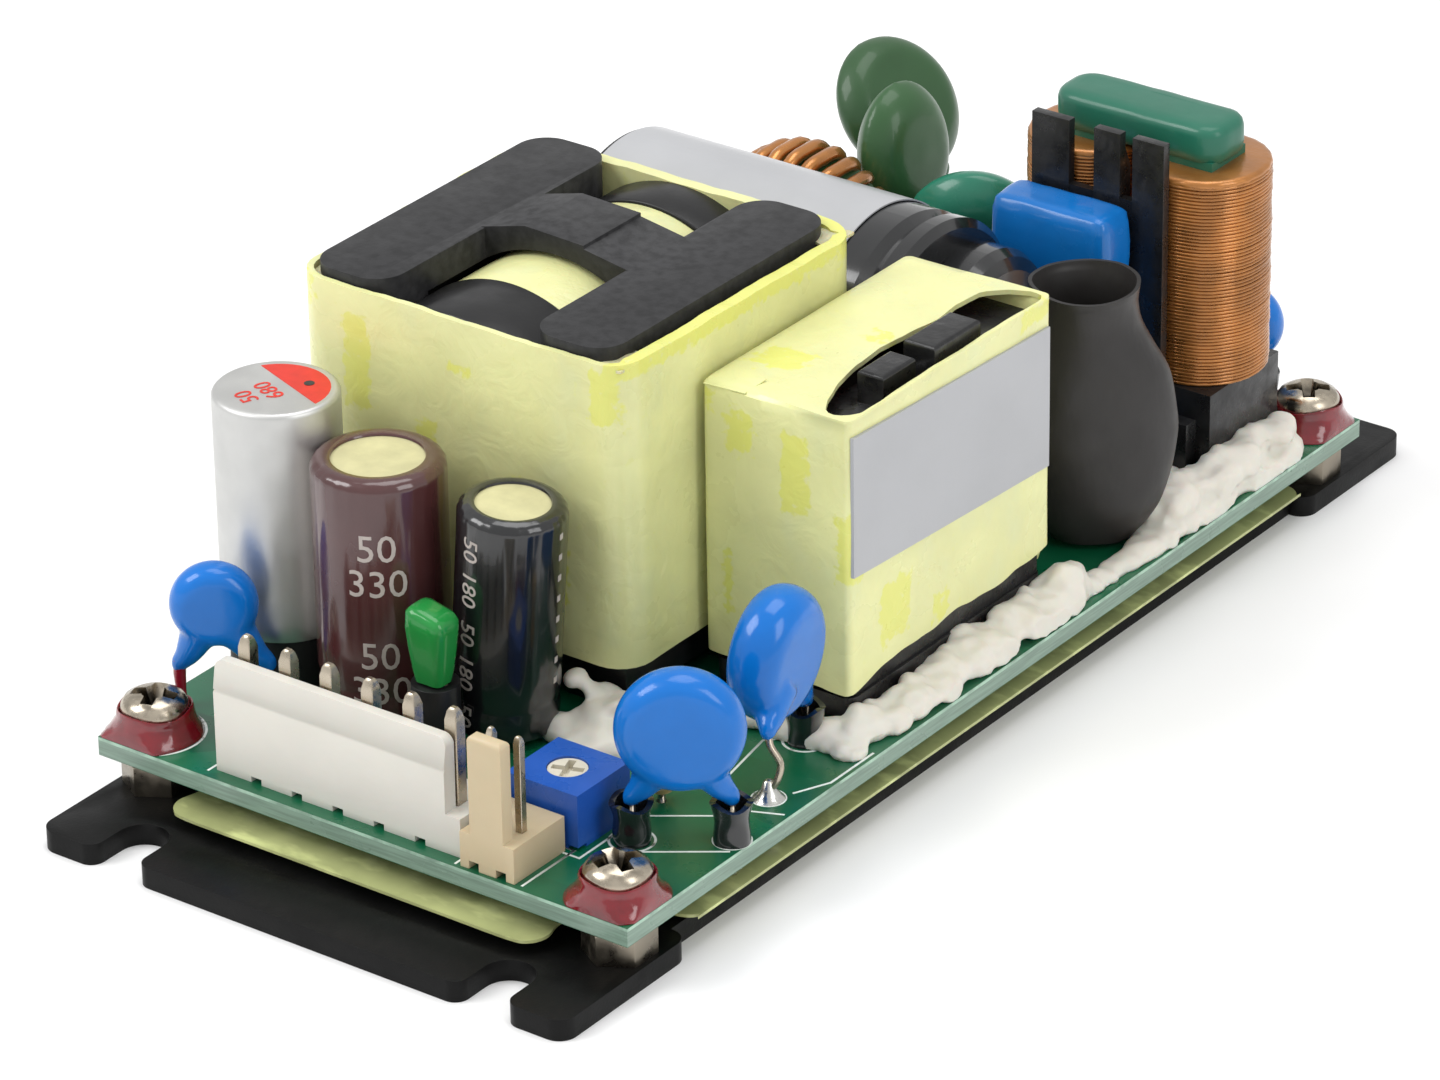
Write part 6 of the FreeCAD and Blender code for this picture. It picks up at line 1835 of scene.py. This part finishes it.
class SUPPLY_OT_toroid(bpy.types.Operator):
    """Copper toroid, wound turn by turn"""
    bl_idname = "supply.toroid"
    bl_label = "Toroid"

    def execute(self, context):
        dress("toroid_core", "epoxy_green")
        low, high = span("toroid_core")
        wire = sizes().toroid_wire / MM
        outer = (high[0] - low[0]) / 2
        inner = outer - 3.3
        centre = middle("toroid_core")
        tree = toroid_tree(finish("copper_wire"))
        mesh = tree.run("toroid_turns", {
            "Turns": sizes().toroid_turns, "Ring": (outer + inner) / 2 * MM,
            "Radial": (outer - inner + wire) * MM,
            "Width": (high[1] - low[1] + wire) * MM, "Wire": wire * MM,
            "Start": radians(-62), "Sweep": radians(304),
            "Centre": tuple(c * MM for c in centre)})
        add_piece("toroid_turns", mesh, "copper_wire", "copper", "toroid_winding")
        return {"FINISHED"}


class SUPPLY_OT_green_discs(bpy.types.Operator):
    """Green and teal dipped discs at the mains end"""
    bl_idname = "supply.green_discs"
    bl_label = "Green discs"

    def execute(self, context):
        for node, finish_name, slot in (("surge_absorber", "epoxy_green", "green_epoxy"),
                                        ("small_green_disc", "epoxy_green_pale",
                                         "green_epoxy"),
                                        ("teal_disc", "epoxy_teal", "teal_epoxy")):
            add_piece(node + "_coat", dipped(node), finish_name, slot, node)
        return {"FINISHED"}


class SUPPLY_OT_box_capacitor(bpy.types.Operator):
    """Blue box capacitor in front of the filter choke"""
    bl_idname = "supply.box_capacitor"
    bl_label = "Box capacitor"

    def execute(self, context):
        low, high = span("x_capacitor")
        bm = bmesh.new()
        cuboid(bm, low[0], high[0], low[1], high[1], low[2], high[2])
        for _ in range(4):
            bmesh.ops.subdivide_edges(bm, edges=bm.edges, cuts=1, use_grid_fill=True)
        mid = [(a + b) / 2 for a, b in zip(low, high)]
        half = [(b - a) / 2 for a, b in zip(low, high)]
        r = 1.25
        for v in bm.verts:
            d = [v.co[i] - mid[i] for i in range(3)]
            core = [within(d[i], half[i] - r) for i in range(3)]
            out = Vector([d[i] - core[i] for i in range(3)])
            if out.length > 1e-6:
                out = out.normalized() * r
            soft = 0.16 * wave(*v.co, 4) + 0.08 * wave(*v.co, 1.8)
            way = out.normalized() if out.length else Vector()
            v.co = Vector([mid[i] + core[i] for i in range(3)]) + out + way * (soft - 0.18)
        add_piece("box_coat", bm, "box_blue", "blue_epoxy", "x_capacitor", smooth=180)
        return {"FINISHED"}


class SUPPLY_OT_filter_choke(bpy.types.Operator):
    """Line filter choke: green ferrite, black bobbin and two coils wound turn by turn"""
    bl_idname = "supply.filter_choke"
    bl_label = "Filter choke"

    def execute(self, context):
        ease = sizes().edge / MM
        self.core()
        bm = softened("filter_choke_bobbin", ease * 2.2, 3)
        front = span("filter_choke_bobbin")[0][1] + 2.4
        top = span("filter_choke_windings")[1][2] - 0.4
        for v in bm.verts:
            if v.co.y > front:
                v.co.z = min(v.co.z, top)
        for x0, x1 in FILTER_SLOTS:
            cuboid(bm, x0, x1, 31.7, 32.45, BOARD_TOP + 21.2, BOARD_TOP + 24.4)
        add_piece("filter_bobbin", bm, "moulding_gloss", "black_moulding", "filter_choke_bobbin",
                  smooth=35)
        self.add_coils()
        return {"FINISHED"}

    def core(self):
        """Ferrite dipped in thick green lacquer: every edge is soft."""
        low, high = span("filter_choke_core")
        x0, x1, y0, y1 = low[0], high[0], low[1], high[1]
        zt, zb = high[2], high[2] - 3.45
        rings = []
        for inset, z in ((1.3, zb + 0.02), (0.45, zb + 0.15), (0.1, zb + 0.6), (0.0, zb + 1.2),
                         (0.0, zt - 0.9), (0.1, zt - 0.5), (0.35, zt - 0.2),
                         (0.8, zt - 0.04), (1.5, zt)):
            ring = []
            for at, out in walk_outline(x0, x1, y0, y1, 2.1, 0.5):
                spot = at - out * inset
                soft = 0.07 * wave(spot.x, spot.y, z, 3)
                ring.append((spot.x + out.x * soft, spot.y + out.y * soft,
                             z + 0.05 * wave(spot.x, spot.y, 0, 2.2)))
            rings.append(ring)
        bm = stack(bmesh.new(), rings)
        leg_x = (x1 - x0) / 2 - 2.65
        mid = (x0 + x1) / 2
        for side in (-1, 1):
            cx = mid + side * leg_x
            cuboid(bm, cx - 2.1, cx + 2.1, y0 + 0.35, y1 - 0.35, low[2] + 1.5, zb + 0.5)
        cuboid(bm, mid - leg_x - 2.1, mid + leg_x + 2.1, y0, y1, low[2], low[2] + 3.4, 0.4)
        add_piece("filter_core", bm, "core_teal", "teal_epoxy", "filter_choke_core")

    def add_coils(self):
        """Fine turns under a smooth last layer."""
        low, high = span("filter_choke_windings")
        width = COIL_WIDTH
        turns = sizes().filter_turns
        wire = (high[2] - low[2]) / turns
        tree = coil_tree(finish("copper_wire"))
        bm = bmesh.new()
        for x in (low[0] + width / 2, high[0] - width / 2):
            mesh = tree.run("filter_turns", {
                "Turns": turns, "Bottom": (low[2] + wire / 2) * MM,
                "Height": (high[2] - low[2] - wire - 0.5) * MM, "Width": (width - wire) * MM,
                "Depth": (high[1] - low[1] - wire) * MM, "Wire": wire * 1.04 * MM,
                "Centre X": x * MM, "Centre Y": (low[1] + high[1]) / 2 * MM})
            bm.from_mesh(mesh)
        out = bpy.data.meshes.new("filter_coils")
        bm.to_mesh(out)
        bm.free()
        shade(out, 180)
        add_piece("filter_coils", out, "copper_wire", "copper", "filter_choke_windings")
        bm = bmesh.new()
        for x in (low[0] + width / 2, high[0] - width / 2):
            rings = []
            r = width / 2 - 0.02
            for inset, z in ((0.5, high[2] - 0.75), (0.1, high[2] - 0.62),
                             (0.05, high[2] - 0.35), (0.2, high[2] - 0.1),
                             (0.5, high[2] - 0.02), (2.3, high[2] - 0.1)):
                rings.append([(p.x - n.x * inset, p.y - n.y * inset, z) for p, n in
                              walk_outline(x - r, x + r, low[1], high[1], r * 0.98, 0.5)])
            stack(bm, rings)
        add_piece("filter_coil_tops", bm, "copper_smooth", "copper", smooth=50)


class SUPPLY_OT_heat_shrink(bpy.types.Operator):
    """Black shrunk sleeve, open at the top, with a disc inside"""
    bl_idname = "supply.heat_shrink"
    bl_label = "Sleeved disc"

    def execute(self, context):
        x, y = SHRUNK_SLEEVE_FOOT
        turn = Matrix.Rotation(radians(SHRUNK_SLEEVE_WAY), 3, "Z")
        path = smooth_path(SLEEVE_KNOTS, 7)
        outer, inner = [], []
        for k, (z, a, b) in enumerate(path):
            z = max(z, 0.62)
            lean = -0.9 * max(0.0, z - 10.2) / 12.6
            for rings, wall in ((outer, 0.0), (inner, 0.32)):
                ring = []
                for t in angles(80):
                    soft = 0.14 * wave(6 * cos(t), 6 * sin(t), z, 3.8)
                    rim = 0.12 * sin(2 * t + 1) if k > len(path) - 4 else 0.0
                    spot = turn @ Vector(((a - wall + soft) * cos(t),
                                          (b - wall + soft) * sin(t), 0))
                    ring.append((x + lean + spot.x, y + spot.y, BOARD_TOP + z + rim))
                rings.append(ring)
        bm = shell(bmesh.new(), outer + inner[::-1])
        add_piece("shrunk_sleeve", bm, "heat_shrink", "black_shrink", "inrush_disc_sleeve",
                  smooth=60)
        dress("inrush_disc", "epoxy_green")
        return {"FINISHED"}


# Height above the board, half length and half width of the sleeve
SLEEVE_KNOTS = [(0.6, 3.5, 2.5), (2.2, 4.8, 3.0), (4.2, 5.8, 3.5), (7.5, 6.6, 3.95),
                (11.5, 6.85, 4.1), (14.8, 6.35, 4.05), (17.3, 5.2, 3.95), (19.3, 4.35, 3.9),
                (21.0, 4.2, 4.05), (22.6, 4.5, 4.4)]


class SUPPLY_OT_glue(bpy.types.Operator):
    """White silicone squeezed on the board and clear adhesive on the parts behind"""
    bl_idname = "supply.glue"
    bl_label = "Glue"

    def execute(self, context):
        random.seed(GLUE_SEED)
        bm = bmesh.new()
        for x0, y0, x1, y1, z0, z1, r0, r1, count in GLUE_RUNS:
            for k in range(count):
                t = k / max(1, count - 1)
                r = (r0 + (r1 - r0) * t) * random.uniform(0.85, 1.15)
                at = (x0 + (x1 - x0) * t + random.uniform(-0.3, 0.3),
                      y0 + (y1 - y0) * t + random.uniform(-0.3, 0.3),
                      BOARD_TOP + z0 + (z1 - z0) * t)
                blob(bm, at, r, (random.uniform(0.8, 1.15), random.uniform(0.9, 1.4), 0.72))
        mesh = melted(bm, "silicone", 0.3, 1)
        roughened(mesh, 3.2, 0.8, BOARD_TOP + 0.02, BOARD_HALF_WIDTH)
        roughened(mesh, 1.1, 0.22, BOARD_TOP + 0.02, BOARD_HALF_WIDTH)
        add_piece("silicone", mesh, "silicone_white", "white_silicone", "glue_beads")
        bm = bmesh.new()
        for x, y, z, r in CLEAR_BLOBS:
            blob(bm, (x, y, BOARD_TOP + z), r, (1.3, 1.0, 0.7))
        mesh = melted(bm, "clear_adhesive", 0.25, 3)
        roughened(mesh, 0.8, 0.2, BOARD_TOP + 0.02, 25.5)
        add_piece("clear_adhesive", mesh, "glue_clear", "white_silicone")
        return {"FINISHED"}


def blob(bm, at, radius, stretch):
    made = bmesh.ops.create_icosphere(bm, subdivisions=2, radius=radius)["verts"]
    for v in made:
        v.co = Vector(at) + Vector([a * b for a, b in zip(v.co, stretch)])


def roughened(mesh, size, depth, floor, side):
    """Uneven skin, kept above the board and inside its long edges."""
    normals = [v.normal.copy() for v in mesh.vertices]
    for v, way in zip(mesh.vertices, normals):
        at = v.co / MM + way * (wave(*(v.co / MM), size) * depth)
        at.z = max(at.z, floor)
        at.x = within(at.x, side)
        v.co = at * MM


# Start, end, heights, radii and number of the dabs in each run, on the board
GLUE_RUNS = [
    (23.2, -18.6, 23.6, 8.6, 0.7, 1.0, 1.9, 2.1, 26),
    (22.5, -17.0, 22.6, 7.0, 1.6, 1.9, 1.0, 1.2, 22),
    (22.5, -17.8, 22.6, 9.4, 0.3, 0.4, 1.5, 1.7, 24),
    (23.3, 9.0, 22.8, 11.6, 1.6, 0.5, 2.3, 1.6, 5),
    (9.5, -19.2, 20.5, -19.4, 0.6, 0.7, 1.3, 1.9, 12),
    (21.0, -19.4, 23.4, -19.8, 0.5, 0.4, 1.8, 1.5, 4),
    (5.2, -28.8, 7.4, -27.6, 1.2, 2.6, 1.7, 1.3, 5),
    (4.2, -30.6, 10.2, -28.4, 0.7, 0.9, 1.7, 2.1, 7),
    (6.2, -32.0, 9.6, -30.4, 0.4, 0.5, 1.6, 1.5, 4),
    (3.5, -27.9, 6.6, -27.3, 3.6, 2.2, 0.9, 1.2, 4),
    (22.6, 24.6, 23.8, 34.5, 2.2, 2.4, 2.0, 1.9, 10),
    (23.4, 23.0, 23.7, 41.5, 0.5, 0.3, 2.1, 1.9, 17),
    (22.9, 31.0, 23.2, 41.0, 3.3, 2.6, 1.2, 1.5, 9),
    (23.6, 12.0, 23.9, 22.5, 0.2, 0.2, 1.3, 1.5, 12),
    (18.0, 29.8, 22.0, 29.9, 0.8, 1.4, 1.2, 1.5, 5),
]
CLEAR_BLOBS = [(9.4, 19.0, 17.2, 1.0), (10.6, 20.4, 16.0, 1.2), (8.4, 22.0, 16.4, 1.1),
               (6.0, 24.6, 16.6, 1.3), (3.4, 26.2, 17.0, 1.2), (11.5, 17.6, 13.2, 1.3),
               (11.8, 21.6, 12.6, 1.6), (0.6, 29.2, 15.6, 1.4), (-2.4, 32.0, 16.2, 1.2),
               (11.6, 24.2, 9.8, 1.8), (-15.6, 42.9, 14.4, 0.9)]


class SUPPLY_OT_small_parts(bpy.types.Operator):
    """Fuse, rectifier, small resistor and the flat power parts under the board"""
    bl_idname = "supply.small_parts"
    bl_label = "Small parts"

    def execute(self, context):
        for node, finish_name in (("line_fuse", "moulding_black"),
                                  ("bridge_rectifier", "moulding_black"),
                                  ("tan_resistor", "ceramic_tan"),
                                  ("power_packages", "moulding_black"),
                                  ("package_pads", "rubber_black")):
            dress(node, finish_name)
        return {"FINISHED"}


class SUPPLY_PT_panel(bpy.types.Panel):
    """Lists the operators and the values they read"""
    bl_label = "Power supply"
    bl_idname = "SUPPLY_PT_panel"
    bl_space_type = "VIEW_3D"
    bl_region_type = "UI"
    bl_category = "Supply"

    def draw(self, context):
        for operator in OPERATORS:
            self.layout.operator(operator.bl_idname)
        for group in (context.scene.supply_sizes, context.scene.supply_colours):
            for key in group.bl_rna.properties.keys():
                if key not in ("rna_type", "name"):
                    self.layout.prop(group, key)


OPERATORS = (SUPPLY_OT_stage, SUPPLY_OT_base, SUPPLY_OT_board, SUPPLY_OT_headers,
             SUPPLY_OT_trimmer, SUPPLY_OT_standing_capacitors, SUPPLY_OT_indicator,
             SUPPLY_OT_disc_capacitors, SUPPLY_OT_transformer, SUPPLY_OT_choke,
             SUPPLY_OT_bulk_capacitor, SUPPLY_OT_toroid, SUPPLY_OT_green_discs,
             SUPPLY_OT_box_capacitor, SUPPLY_OT_filter_choke, SUPPLY_OT_heat_shrink,
             SUPPLY_OT_glue, SUPPLY_OT_small_parts)
CLASSES = (SupplyColours, SupplySizes, *OPERATORS, SUPPLY_PT_panel)


def register():
    for item in CLASSES:
        bpy.utils.register_class(item)
    bpy.types.Scene.supply_colours = PointerProperty(type=SupplyColours)
    bpy.types.Scene.supply_sizes = PointerProperty(type=SupplySizes)


def unregister():
    del bpy.types.Scene.supply_sizes
    del bpy.types.Scene.supply_colours
    for item in reversed(CLASSES):
        bpy.utils.unregister_class(item)


def main():
    register()
    for operator in OPERATORS:
        group, name = operator.bl_idname.split(".")
        getattr(getattr(bpy.ops, group), name)()


if __name__ == "__main__":
    main()
